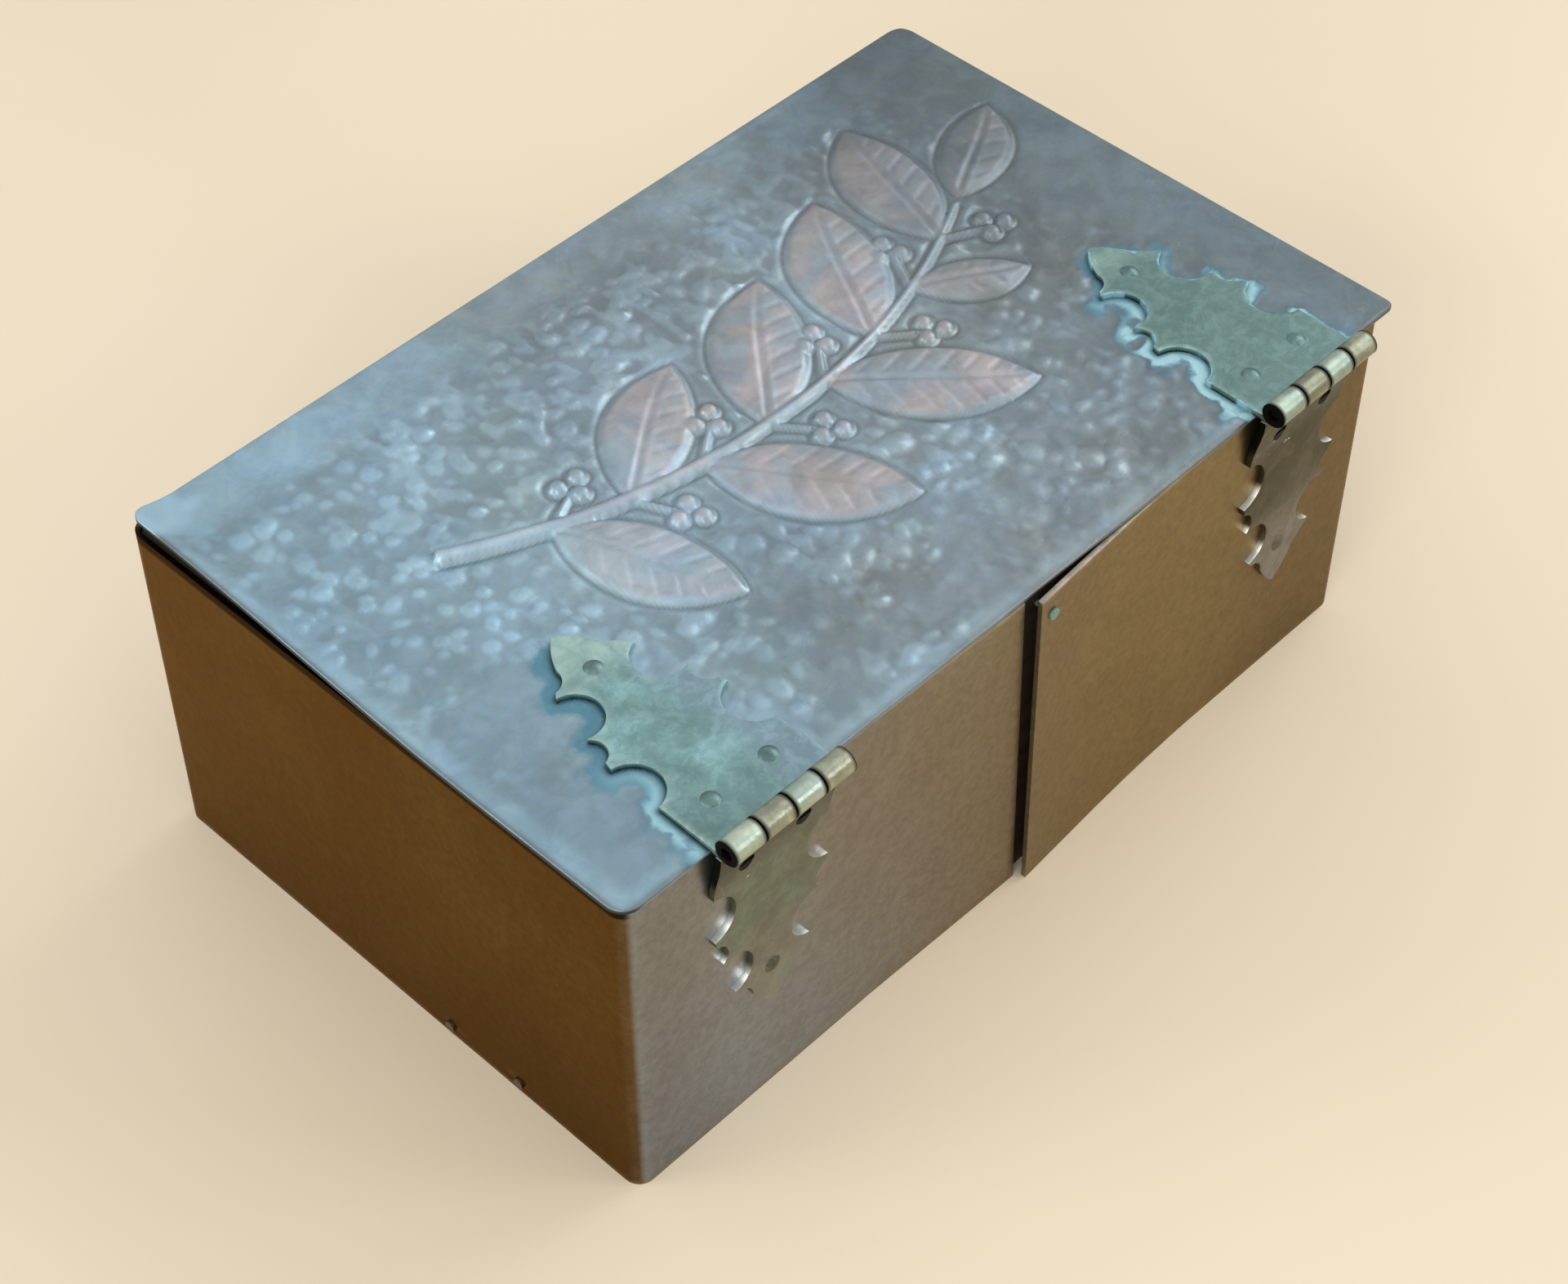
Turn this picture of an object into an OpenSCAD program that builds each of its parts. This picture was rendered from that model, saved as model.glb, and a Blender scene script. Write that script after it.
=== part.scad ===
// Keepsake box: a copper sheet wrapped round a cedar carcass, shut by a copper lid
// that turns on two scalloped brass strap hinges at the back.
// Millimetres, +Z up. The origin is the middle of the underside. The front is at -Y,
// the hinges are at +Y, and left and right are as seen from the front.

/* [Body] */
// Outside width of the wrapped body
body_w = 175; // [160:1:240]
// Outside depth of the wrapped body, front to back
body_d = 110; // [95:1:160]
// Height of the body below the lid
body_h = 68; // [60:1:110]

/* [Wood] */
// Thickness of the four wall boards
wall_t = 5; // [4:0.5:8]
// Thickness of the base board
base_t = 5; // [4:0.5:8]
// Clearance round the base board in its rebate
base_fit = 0.2; // [0.1:0.05:0.4]
// How far the tops of the boards lie below the sheet's top edge
board_drop = 0.4; // [0.2:0.1:1]
// Thickness of the board that lines the lid
lining_t = 4; // [3:0.5:6]
// Gap between the lining and the walls when the lid is shut
lining_gap = 1; // [0.6:0.1:2]
// Bevel along the lower edges of the lining
lining_bevel = 0.8; // [0.4:0.1:1.5]

/* [Copper sheet] */
// Thickness of the sheet round the body
wrap_t = 0.9; // [0.6:0.1:1.2]
// Outside radius of the sheet's bends at the corners
wrap_r = 3; // [2.5:0.1:5]
// Place of the top of the sheet's open seam, from the middle of the back
seam_x = 2.6; // [-5:0.1:5]
// How far the seam's foot lies further to the left
seam_lean = 2.2; // [0:0.1:4]
// Width of the open seam at its top
seam_gap = 1.8; // [1:0.1:3]
// Width of the open seam at its foot
seam_foot_gap = 1.2; // [0.8:0.1:3]
// How far the sheet's right end has sprung off the wood at the seam
right_spring = 0.7; // [0.2:0.1:2]
// How far the sheet's left end has sprung off the wood at the seam
left_spring = 2.6; // [0.2:0.1:3]

/* [Lid] */
// Thickness of the lid sheet
lid_t = 1; // [0.8:0.1:1.5]
// Radius of the lid sheet's corners
lid_r = 3.5; // [2:0.5:8]
// Overhang of the lid sheet past the right end
lid_over_right = 0.5; // [0.2:0.1:3]
// Overhang of the lid sheet past the left end
lid_over_left = 2.5; // [0.2:0.1:4]
// Overhang of the lid sheet past the front
lid_over_front = 0.5; // [0.2:0.1:3]
// Overhang of the lid sheet past the back, at the hinges
lid_over_back = 0.5; // [0.2:0.1:0.9]

/* [Lid relief] */
// Height of the embossed leaves above the lid sheet
relief_h = 1.3; // [0.8:0.1:1.8]
// Radius of the embossed stem
stem_r = 0.9; // [0.6:0.1:1.3]
// Radius of the embossed berries
berry_r = 1.9; // [1.5:0.1:2.4]

/* [Hinges] */
// Width of a hinge along its barrel
hinge_w = 24.4; // [21:0.2:30]
// Distance from the hinge axis to the tip of a leaf
leaf_len = 48.5; // [42:0.5:54]
// Thickness of the leaf sheet
leaf_t = 1.1; // [0.9:0.1:1.3]
// Diameter of the hinge pin
hinge_pin_d = 2.1; // [1.6:0.1:2.6]
// Radial clearance of the hinge pin in its knuckles
hinge_pin_fit = 0.05; // [0.03:0.01:0.08]
// How far the ends of the hinge pin lie inside the barrel
hinge_pin_sink = 0.8; // [0.2:0.1:1.5]
// Clearance between neighbouring knuckles
knuckle_gap = 0.25; // [0.15:0.05:0.5]
// Clearance between a knuckle and the notch that it turns in
notch_gap = 0.4; // [0.3:0.05:0.8]
// Slit where a knuckle's rolled end comes back to its leaf
curl_gap = 0.15; // [0.1:0.05:0.25]
// How far the body leaf stands off the back at the barrel
leaf_stand = 1.8; // [1.5:0.1:2.2]
// Distance below the hinge axis at which the body leaf comes to lie on the back
leaf_lean = 14; // [12:0.5:16]
// Distance from the right end of the body to the middle of the right hinge
right_hinge_inset = 28.5; // [22:0.5:32]
// Distance from the left end of the body to the middle of the left hinge
left_hinge_inset = 23; // [18:0.5:32]

/* [Fixings] */
// Shank diameter of the rivets, screws and nails in the hinge leaves
shank_d = 1.6; // [1.2:0.1:2]
// Radial clearance of every shank and head in its hole
shank_fit = 0.05; // [0.03:0.01:0.1]
// Wood left between the point of a fixing and the inside of the box
point_cover = 0.8; // [0.5:0.1:1.5]
// Head diameter of the rivets and of the leaf nails
head_d = 3.2; // [2.6:0.1:4]
// Height of those domed heads
head_h = 0.6; // [0.4:0.1:1.2]
// Diameter of a rivet's tail, spread flush in the lid sheet
tail_d = 2.4; // [2:0.1:3]
// Depth of the countersink that holds the tail
tail_h = 0.4; // [0.3:0.1:0.6]
// Head diameter of the flat screws below the barrel
screw_head_d = 3; // [2.4:0.1:3.6]
// Head height of those screws
screw_head_h = 0.4; // [0.3:0.05:0.6]
// Depth of the recess that holds a screw head
screw_sink = 0.55; // [0.45:0.05:0.7]
// Width of the slot in a screw head
slot_w = 0.5; // [0.3:0.1:0.8]
// Depth of that slot
slot_h = 0.2; // [0.1:0.05:0.25]
// Shank diameter of the small nails in the body sheet
nail_d = 1; // [0.8:0.1:1.4]
// Head diameter of the small nails
nail_head_d = 2; // [1.6:0.1:2.6]
// Head height of the small nails
nail_head_h = 0.35; // [0.2:0.05:0.6]
// Distance from the seam's edge to the seam nail
seam_nail_in = 3.1; // [2.5:0.1:5]
// Distance from the body's top to the seam nail
seam_nail_down = 4.5; // [3:0.5:15]
// Height of the base nails above the underside
base_nail_z = 1.9; // [1.5:0.1:2.4]
// Distance from the middle of the depth to the first base nail
base_nail_first = 12; // [4:1:20]
// Spacing of the base nails
base_nail_pitch = 16; // [8:1:20]
// How far a base nail reaches into the base board
base_nail_grip = 4; // [3:0.5:6]

/* [Hidden] */

$fn = 64;
// Overrun of every cut past the face that it leaves
over = wall_t / 5;

// The wooden carcass fills the sheet
core_w = body_w - 2 * wrap_t;
core_d = body_d - 2 * wrap_t;
core_h = body_h - board_drop;
// The boards' outer corners are eased, so that they clear the sheet's bends
core_r = 1.2 * (wrap_r - wrap_t);
inner_w = core_w - 2 * wall_t;
inner_d = core_d - 2 * wall_t;
// Share of a wall's thickness that a corner rebate or the base rebate takes
rebate_share = 0.5;
rebate = wall_t * rebate_share;

// Hinges
half_w = hinge_w / 2;
bore_r = hinge_pin_d / 2 + hinge_pin_fit;
barrel_r = bore_r + leaf_t;
lid_top = body_h + lid_t;
axis_y = body_d / 2 + leaf_stand + barrel_r;
axis_z = lid_top + barrel_r;
right_hinge_x = body_w / 2 - right_hinge_inset;
left_hinge_x = left_hinge_inset - body_w / 2;
knuckles = 4;
knuckle_pitch = hinge_w / knuckles;
notch_v = barrel_r + notch_gap;

// Leaf outline. u runs along the barrel from the middle of the leaf, as a share of
// half the hinge's width, and v runs from the axis towards the tip, as a share of the
// leaf's length. Each side has four bites: centre u, centre v and radius.
edge_shares = [[1, 0], [0.975, 0.484], [0.84, 0.62], [0.648, 0.808]];
bite_shares = [
    [1.025, 0.382, 0.41],
    [0.992, 0.572, 0.233],
    [0.711, 0.71, 0.377],
    [0.59, 0.885, 0.246],
];
neck_u = (bite_shares[3][0] - bite_shares[3][2]) * half_w;
neck_v = bite_shares[3][1] * leaf_len;
// The tip is a pointed arch that leaves the neck without a step
arch_v_share = 0.78;
arch_v = arch_v_share * leaf_len;
arch_u = (pow(leaf_len - arch_v, 2) - pow(neck_v - arch_v, 2) - pow(neck_u, 2)) / (2 * neck_u);
arch_r = norm([arch_u, leaf_len - arch_v]);

// Fixings of a leaf: a pair near the barrel and one near the tip
pair_u_share = 0.485;
pair_v_share = 0.192;
tip_v_share = 0.815;
pair_u = pair_u_share * half_w;
pair_v = pair_v_share * leaf_len;
tip_v = tip_v_share * leaf_len;
point_y = inner_d / 2 + point_cover;

// The sheet is flat under the hinges and springs off between them
spring_share = 0.94;
right_edge_x = seam_x + seam_gap / 2;
left_edge_x = seam_x - seam_gap / 2;
right_foot_x = seam_x - seam_lean + seam_foot_gap / 2;
left_foot_x = seam_x - seam_lean - seam_foot_gap / 2;
right_spring_x = right_edge_x + spring_share * (right_hinge_x - half_w - right_edge_x);
left_spring_x = left_edge_x - spring_share * (left_edge_x - left_hinge_x - half_w);
seam_nail_x = left_edge_x - seam_nail_in;

// Spray embossed on the lid. Its stem is an arc that bows towards the hinges, and the
// leaves grow from it by turns towards the hinges and towards the front, at equal steps
// of the arc's angle, with one more leaf at its end.
stem_arc_share = 0.686;
stem_crest_share = 0.01;
stem_arc = stem_arc_share * body_w;
stem_crest = stem_crest_share * body_d;
stem_from = 30;
stem_to = -30;
spray_first = 21;
spray_step = 6.5;
spray_splay = 48;
// Length of each leaf as a share of the longest, and of that leaf as a share of the depth
spray_size_shares = [0.95, 0.9, 1, 1, 1, 1, 0.6, 0.95];
end_leaf_share = 0.75;
spray_leaf_share = 0.32;
spray_leaf_len = spray_leaf_share * body_d;
// Width of a leaf as a share of its length, and the heights of its edge and ends
leaf_width_share = 0.47;
leaf_edge_share = 0.35;
leaf_end_share = 0.25;
// Berries sit in threes across the stem from a leaf, midway between its neighbours
berry_reach_share = 0.09;
berry_reach = berry_reach_share * body_d;
berry_ring_share = 1.15;
berry_ring = berry_ring_share * berry_r;
berry_crest_share = 0.6;

// Rise of a strip held at s = 0 and free at s = 1
function spring_rise(s) = s * s * (3 - s) / 2;
// Smooth step from 0 to 1
function ease(s) = s * s * (3 - 2 * s);
function clamp(s) = max(0, min(1, s));
// Stand-off of the body leaf's inner face at the distance v below the axis
function stand_at(v) = leaf_stand * ease(clamp((leaf_lean - v) / (leaf_lean - notch_v)));
// How far the sheet's left end stands off at x
function left_rise(x) = left_spring * spring_rise(clamp((x - left_spring_x) / (left_edge_x - left_spring_x)));

// A plate on z = 0 with its four upright edges rounded
module rounded_plate(w, d, h, r) {
    linear_extrude(h) {
        square([w - 2 * r, d], center = true);
        square([w, d - 2 * r], center = true);
        for (x = [-1, 1], y = [-1, 1]) {
            translate([x * (w / 2 - r), y * (d / 2 - r)]) circle(r);
        }
    }
}

// Extrudes an outline of y and z points along X, centred on x = 0
module along_x(length) {
    translate([-length / 2, 0, 0]) rotate([90, 0, 90]) linear_extrude(length) children();
}

// Extrudes an outline of x and z points along Y, centred on y = 0
module along_y(length) {
    translate([0, length / 2, 0]) rotate([90, 0, 0]) linear_extrude(length) children();
}

// Fixings are drawn with the seat of the head at z = 0 and the point downwards

// Round head with a crown of the given height
module dome_head(d, h) {
    crown_r = (d * d / 4 + h * h) / (2 * h);
    intersection() {
        cylinder(d = d, h = h);
        translate([0, 0, h - crown_r]) sphere(crown_r);
    }
}

// Straight shank with a short point
module shank(d, length) {
    translate([0, 0, d - length]) cylinder(d = d, h = length - d);
    translate([0, 0, -length]) cylinder(d1 = d / 3, d2 = d, h = d);
}

module shank_hole(d, length) {
    translate([0, 0, -length - shank_fit]) cylinder(d = d + 2 * shank_fit, h = length + over + shank_fit);
}

module rivet() {
    stem = leaf_t + lid_t;
    dome_head(head_d, head_h);
    translate([0, 0, -stem]) cylinder(d = shank_d, h = stem);
    translate([0, 0, -stem]) cylinder(d1 = tail_d, d2 = shank_d, h = tail_h);
}

module rivet_hole() {
    stem = leaf_t + lid_t;
    translate([0, 0, -stem - over]) cylinder(d = shank_d + 2 * shank_fit, h = stem + 2 * over);
    translate([0, 0, -stem]) cylinder(d1 = tail_d + 2 * shank_fit, d2 = shank_d + 2 * shank_fit, h = tail_h);
    translate([0, 0, -stem - over]) cylinder(d = tail_d + 2 * shank_fit, h = over);
}

module screw(length) {
    difference() {
        cylinder(d = screw_head_d, h = screw_head_h);
        translate([-screw_head_d / 2 - over, -slot_w / 2, screw_head_h - slot_h]) {
            cube([screw_head_d + 2 * over, slot_w, slot_h + over]);
        }
    }
    shank(shank_d, length);
}

module screw_hole(length) {
    cylinder(d = screw_head_d + 2 * shank_fit, h = screw_sink + leaf_stand + over);
    shank_hole(shank_d, length);
}

module nail(length) {
    cylinder(d = nail_head_d, h = nail_head_h);
    shank(nail_d, length);
}

// Wooden boards

// Block that the four walls are cut from
module core_block() {
    rounded_plate(core_w, core_d, core_h, core_r);
}

// Long board at the front; both long boards carry rebates for the ends and the base
module long_board() {
    difference() {
        intersection() {
            core_block();
            translate([-core_w / 2, -core_d / 2, 0]) cube([core_w, wall_t, core_h]);
        }
        for (side = [-1, 1]) {
            translate([side * core_w / 2 - wall_t, rebate - core_d / 2, -over]) {
                cube([2 * wall_t, wall_t, core_h + 2 * over]);
            }
        }
        translate([-core_w / 2 - over, -inner_d / 2 - rebate, -over]) {
            cube([core_w + 2 * over, wall_t, base_t + over]);
        }
    }
}

// Board across the right end, seated in the rebates of the long boards
module end_board() {
    length = core_d - 2 * rebate;
    difference() {
        translate([inner_w / 2, -length / 2, 0]) cube([wall_t, length, core_h]);
        translate([inner_w / 2 - over, -length / 2 - over, -over]) {
            cube([rebate + over, length + 2 * over, base_t + over]);
        }
    }
}

module base_nail_places(side) {
    for (row = [0, 1]) {
        translate([side * body_w / 2, base_nail_first + row * base_nail_pitch, base_nail_z]) {
            rotate([0, side * 90, 0]) children();
        }
    }
}

base_nail_len = wrap_t + wall_t - rebate + base_fit + base_nail_grip;

module base_nail_holes(side) {
    base_nail_places(side) shank_hole(nail_d, base_nail_len);
}

module front_board() {
    color("peru") long_board();
}

module back_board() {
    color("peru") difference() {
        mirror([0, 1, 0]) long_board();
        for (x = [left_hinge_x, right_hinge_x]) {
            body_leaf_screw_places(x) screw_hole(leaf_screw_len);
            body_leaf_nail_place(x) shank_hole(shank_d, leaf_nail_len);
        }
        seam_nail_place() shank_hole(nail_d, seam_nail_len);
    }
}

module left_end_board() {
    color("sienna") difference() {
        mirror([1, 0, 0]) end_board();
        base_nail_holes(-1);
    }
}

module right_end_board() {
    color("sienna") difference() {
        end_board();
        base_nail_holes(1);
    }
}

module base_board() {
    w = inner_w + 2 * rebate - 2 * base_fit;
    d = inner_d + 2 * rebate - 2 * base_fit;
    color("burlywood") difference() {
        translate([-w / 2, -d / 2, 0]) cube([w, d, base_t]);
        base_nail_holes(-1);
        base_nail_holes(1);
    }
}

// Copper sheet round the body

spring_steps = 14;

// Outline of a sprung end, from its flat part at x_from to its free edge at x_to
module sprung_end(x_from, x_to, spring) {
    inner = [
        for (i = [0 : spring_steps])
            let (s = i / spring_steps)
            [x_from + s * (x_to - x_from), core_d / 2 + spring * spring_rise(s)]
    ];
    lead = x_from < x_to ? -over : over;
    outer = [for (i = [spring_steps : -1 : 0]) inner[i] + [0, wrap_t]];
    polygon(concat([[x_from + lead, core_d / 2]], inner, outer, [[x_from + lead, body_d / 2]]));
}

// Cuts a sprung end along its free edge, which leans from its foot to its top
module seam_cut(foot_x, top_x, far_x) {
    lean = (top_x - foot_x) / body_h;
    along_y(2 * body_d) {
        polygon([
            [foot_x - lean * over, -over],
            [top_x + lean * over, body_h + over],
            [far_x, body_h + over],
            [far_x, -over],
        ]);
    }
}

module body_wrap() {
    color("saddlebrown") difference() {
        union() {
            difference() {
                rounded_plate(body_w, body_d, body_h, wrap_r);
                translate([0, 0, -over]) rounded_plate(core_w, core_d, body_h + 2 * over, wrap_r - wrap_t);
                translate([left_spring_x, 0, -over]) {
                    cube([right_spring_x - left_spring_x, body_d, body_h + 2 * over]);
                }
            }
            difference() {
                linear_extrude(body_h) sprung_end(right_spring_x, right_foot_x, right_spring);
                seam_cut(right_foot_x, right_edge_x, right_foot_x - over);
            }
            difference() {
                linear_extrude(body_h) sprung_end(left_spring_x, left_edge_x, left_spring);
                seam_cut(left_foot_x, left_edge_x, left_edge_x + over);
            }
        }
        for (x = [left_hinge_x, right_hinge_x]) {
            body_leaf_screw_places(x) shank_hole(shank_d, leaf_screw_len);
            body_leaf_nail_place(x) shank_hole(shank_d, leaf_nail_len);
        }
        seam_nail_place() shank_hole(nail_d, seam_nail_len);
        base_nail_holes(-1);
        base_nail_holes(1);
    }
}

module base_nails() {
    color("darkgoldenrod") for (side = [-1, 1]) {
        base_nail_places(side) nail(base_nail_len);
    }
}

seam_nail_y = body_d / 2 + left_rise(seam_nail_x + nail_head_d / 2);
seam_nail_len = seam_nail_y - point_y;

module seam_nail_place() {
    translate([seam_nail_x, seam_nail_y, body_h - seam_nail_down]) rotate([-90, 0, 0]) children();
}

module seam_nail() {
    color("darkseagreen") seam_nail_place() nail(seam_nail_len);
}

// Lid

// Place on the stem at the angle a, with +X turned along the stem towards its leafy end
module on_stem(a) {
    translate([stem_arc * sin(a), stem_crest - stem_arc * (1 - cos(a)), 0]) {
        rotate([0, 0, 180 - a]) children();
    }
}

// Leaf from the origin along +X: a pointed oval with a keel, arched from base to tip
module embossed_leaf(length) {
    a = length / 2;
    w = leaf_width_share * a;
    side_r = (a * a + w * w) / (2 * w);
    drop = relief_h * (1 - leaf_end_share);
    arch_r = (a * a + drop * drop) / (2 * drop);
    translate([a, 0, 0]) intersection() {
        translate([0, 0, -lid_t / 2]) linear_extrude(lid_t + relief_h) intersection_for (side = [-1, 1]) {
            translate([0, side * (side_r - w)]) circle(side_r, $fn = 96);
        }
        along_x(length) {
            polygon([
                [-w, -lid_t / 2],
                [-w, leaf_edge_share * relief_h],
                [0, relief_h],
                [w, leaf_edge_share * relief_h],
                [w, -lid_t / 2],
            ]);
        }
        translate([0, w, relief_h - arch_r]) rotate([90, 0, 0]) cylinder(r = arch_r, h = 2 * w, $fn = 360);
    }
}

module berry() {
    sphere_z = berry_r * (berry_crest_share - 1);
    translate([0, 0, sphere_z]) intersection() {
        sphere(berry_r);
        translate([-berry_r, -berry_r, -sphere_z - lid_t / 2]) cube(2 * berry_r);
    }
}

module embossed_spray() {
    translate([0, stem_crest - stem_arc, 0]) {
        rotate([0, 0, 90 - stem_from]) rotate_extrude(angle = stem_from - stem_to, $fn = 360) {
            translate([stem_arc, 0]) circle(stem_r, $fn = 24);
        }
    }
    for (i = [0 : len(spray_size_shares) - 1]) {
        side = i % 2 == 0 ? 1 : -1;
        on_stem(spray_first - i * spray_step) {
            rotate([0, 0, -side * spray_splay]) embossed_leaf(spray_leaf_len * spray_size_shares[i]);
            rotate([0, 0, side * spray_splay]) translate([berry_reach, 0, 0]) for (turn = [0, 120, 240]) {
                rotate([0, 0, turn]) translate([berry_ring, 0, 0]) berry();
            }
        }
    }
    on_stem(stem_to) embossed_leaf(spray_leaf_len * end_leaf_share);
}

module lid_sheet() {
    w = body_w + lid_over_left + lid_over_right;
    d = body_d + lid_over_front + lid_over_back;
    color("slategray") difference() {
        translate([0, 0, body_h]) union() {
            translate([(lid_over_right - lid_over_left) / 2, (lid_over_back - lid_over_front) / 2, 0]) {
                rounded_plate(w, d, lid_t, lid_r);
            }
            translate([0, 0, lid_t]) embossed_spray();
        }
        for (x = [left_hinge_x, right_hinge_x]) {
            lid_leaf_places(x) rivet_hole();
        }
    }
}

module lid_lining() {
    w = inner_w - 2 * lining_gap;
    d = inner_d - 2 * lining_gap;
    color("tan") translate([0, 0, body_h - lining_t]) intersection() {
        along_x(w) lining_section(d);
        along_y(d) lining_section(w);
    }
}

// Section across the lining, with its two lower corners bevelled
module lining_section(w) {
    polygon([
        [-w / 2, lining_t],
        [-w / 2, lining_bevel],
        [lining_bevel - w / 2, 0],
        [w / 2 - lining_bevel, 0],
        [w / 2, lining_bevel],
        [w / 2, lining_t],
    ]);
}

// Hinges

// Outline of a leaf, with the axis along y = 0 and the tip towards -Y
module leaf_plan() {
    neck = [[neck_u, neck_v], [-neck_u, neck_v]];
    right = [for (p = edge_shares) [p[0] * half_w, p[1] * leaf_len]];
    left = [for (i = [len(right) - 1 : -1 : 0]) [-right[i][0], right[i][1]]];
    mirror([0, 1]) difference() {
        union() {
            polygon(concat(right, neck, left));
            intersection_for (side = [-1, 1]) {
                translate([side * arch_u, arch_v]) circle(arch_r);
            }
        }
        for (side = [-1, 1], bite = bite_shares) {
            translate([side * bite[0] * half_w, bite[1] * leaf_len]) circle(bite[2] * half_w);
        }
    }
}

// Right-hand end of a knuckle's share of the barrel, from the middle of the hinge
function knuckle_x(i) = half_w - i * knuckle_pitch;

// Rolled knuckles, counted from the right: i = 0 and 2 are the lid's, 1 and 3 the body's
module knuckle_rolls(first) {
    for (i = [first : 2 : knuckles - 1]) {
        right_gap = i == 0 ? 0 : knuckle_gap / 2;
        left_gap = i == knuckles - 1 ? 0 : knuckle_gap / 2;
        length = knuckle_pitch - right_gap - left_gap;
        translate([knuckle_x(i) - right_gap - length, 0, 0]) {
            rotate([0, 90, 0]) cylinder(r = barrel_r, h = length);
        }
    }
}

// Blocks that clear a leaf's sheet away where the other leaf's knuckles turn
module knuckle_notches(first) {
    for (i = [first : 2 : knuckles - 1]) {
        right_gap = i == 0 ? over : knuckle_gap / 2;
        left_gap = i == knuckles - 1 ? over : knuckle_gap / 2;
        translate([knuckle_x(i + 1) - left_gap, -notch_v, -notch_v]) {
            cube([knuckle_pitch + right_gap + left_gap, 2 * notch_v, 2 * notch_v]);
        }
    }
}

module hinge_bore() {
    translate([-half_w - over, 0, 0]) rotate([0, 90, 0]) cylinder(r = bore_r, h = hinge_w + 2 * over);
}

// A fixing's places on the lid leaf, with the seat on the leaf's upper face
module lid_leaf_places(x) {
    for (place = [[-pair_u, pair_v], [pair_u, pair_v], [0, tip_v]]) {
        translate([x + place[0], axis_y - place[1], lid_top + leaf_t]) children();
    }
}

// The pair of screws below the barrel, sunk in the leaning part of the body leaf
body_screw_y = body_d / 2 + stand_at(pair_v) + leaf_t - screw_sink;
leaf_screw_len = body_screw_y - point_y;

module body_leaf_screw_places(x) {
    for (side = [-1, 1]) {
        translate([x + side * pair_u, body_screw_y, axis_z - pair_v]) rotate([-90, 0, 0]) children();
    }
}

// The nail near the tip of the body leaf
leaf_nail_len = body_d / 2 + leaf_t - point_y;

module body_leaf_nail_place(x) {
    translate([x, body_d / 2 + leaf_t, axis_z - tip_v]) rotate([-90, 0, 0]) children();
}

// Leaf on the lid, rolled up and over the pin at its back edge
module lid_leaf(x) {
    color("darkkhaki") difference() {
        translate([x, axis_y, axis_z]) difference() {
            union() {
                difference() {
                    translate([0, 0, -barrel_r]) linear_extrude(leaf_t) leaf_plan();
                    knuckle_notches(1);
                }
                knuckle_rolls(0);
            }
            hinge_bore();
            translate([-half_w - over, -barrel_r - over, -bore_r]) {
                cube([hinge_w + 2 * over, barrel_r + over - bore_r / 4, curl_gap]);
            }
        }
        lid_leaf_places(x) rivet_hole();
    }
}

lean_steps = 10;

// Section of the body leaf: flat on the back, then leaning out to the barrel
module body_leaf_section() {
    inner = [
        for (i = [0 : lean_steps])
            let (v = leaf_lean + (notch_v - leaf_lean) * i / lean_steps)
            [stand_at(v), -v]
    ];
    outer = [for (i = [lean_steps : -1 : 0]) inner[i] + [leaf_t, 0]];
    polygon(concat(
        [[0, -leaf_len - over]],
        inner,
        [[leaf_stand, 0], [leaf_stand + leaf_t, 0]],
        outer,
        [[leaf_t, -leaf_len - over]]
    ));
}

// Leaf on the back, rolled out and over the pin at its top edge
module body_leaf(x) {
    color("goldenrod") difference() {
        translate([x, axis_y, axis_z]) difference() {
            union() {
                difference() {
                    intersection() {
                        translate([0, -leaf_stand - barrel_r, 0]) along_x(hinge_w) body_leaf_section();
                        rotate([90, 0, 0]) linear_extrude(leaf_stand + barrel_r + over) leaf_plan();
                    }
                    knuckle_notches(0);
                }
                knuckle_rolls(1);
            }
            hinge_bore();
            translate([-half_w - over, -bore_r, -barrel_r - over]) {
                cube([hinge_w + 2 * over, curl_gap, barrel_r + over - bore_r / 4]);
            }
        }
        body_leaf_screw_places(x) screw_hole(leaf_screw_len);
        body_leaf_nail_place(x) shank_hole(shank_d, leaf_nail_len);
    }
}

module hinge_pin(x) {
    length = hinge_w - 2 * hinge_pin_sink;
    color("dimgray") translate([x - length / 2, axis_y, axis_z]) {
        rotate([0, 90, 0]) cylinder(d = hinge_pin_d, h = length);
    }
}

module lid_leaf_rivets(x) {
    color("olive") lid_leaf_places(x) rivet();
}

module body_leaf_screws(x) {
    color("dimgray") body_leaf_screw_places(x) screw(leaf_screw_len);
}

module body_leaf_nail(x) {
    color("olive") body_leaf_nail_place(x) {
        dome_head(head_d, head_h);
        shank(shank_d, leaf_nail_len);
    }
}

front_board();
back_board();
left_end_board();
right_end_board();
base_board();
body_wrap();
base_nails();
seam_nail();
lid_sheet();
lid_lining();
lid_leaf(left_hinge_x);  // left_hinge_lid_leaf
body_leaf(left_hinge_x);  // left_hinge_body_leaf
hinge_pin(left_hinge_x);  // left_hinge_pin
lid_leaf_rivets(left_hinge_x);  // left_lid_leaf_rivets
body_leaf_screws(left_hinge_x);  // left_body_leaf_screws
body_leaf_nail(left_hinge_x);  // left_body_leaf_nail
lid_leaf(right_hinge_x);  // right_hinge_lid_leaf
body_leaf(right_hinge_x);  // right_hinge_body_leaf
hinge_pin(right_hinge_x);  // right_hinge_pin
lid_leaf_rivets(right_hinge_x);  // right_lid_leaf_rivets
body_leaf_screws(right_hinge_x);  // right_body_leaf_screws
body_leaf_nail(right_hinge_x);  // right_body_leaf_nail
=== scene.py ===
"""Looks of the metal and wood keepsake box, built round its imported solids.

The lid sheet, the hinge leaves and the body's wrap are surfaces of their own: the lid with an
embossed spray of leaves, a hammered ground and crusts of verdigris, the others with softened
edges. Boards, lining, pins, rivets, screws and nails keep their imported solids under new
materials.
Lengths are in millimetres until a mesh is made.
"""

import math

import bmesh
import bpy
import numpy as np
from mathutils import Matrix, Vector


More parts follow.
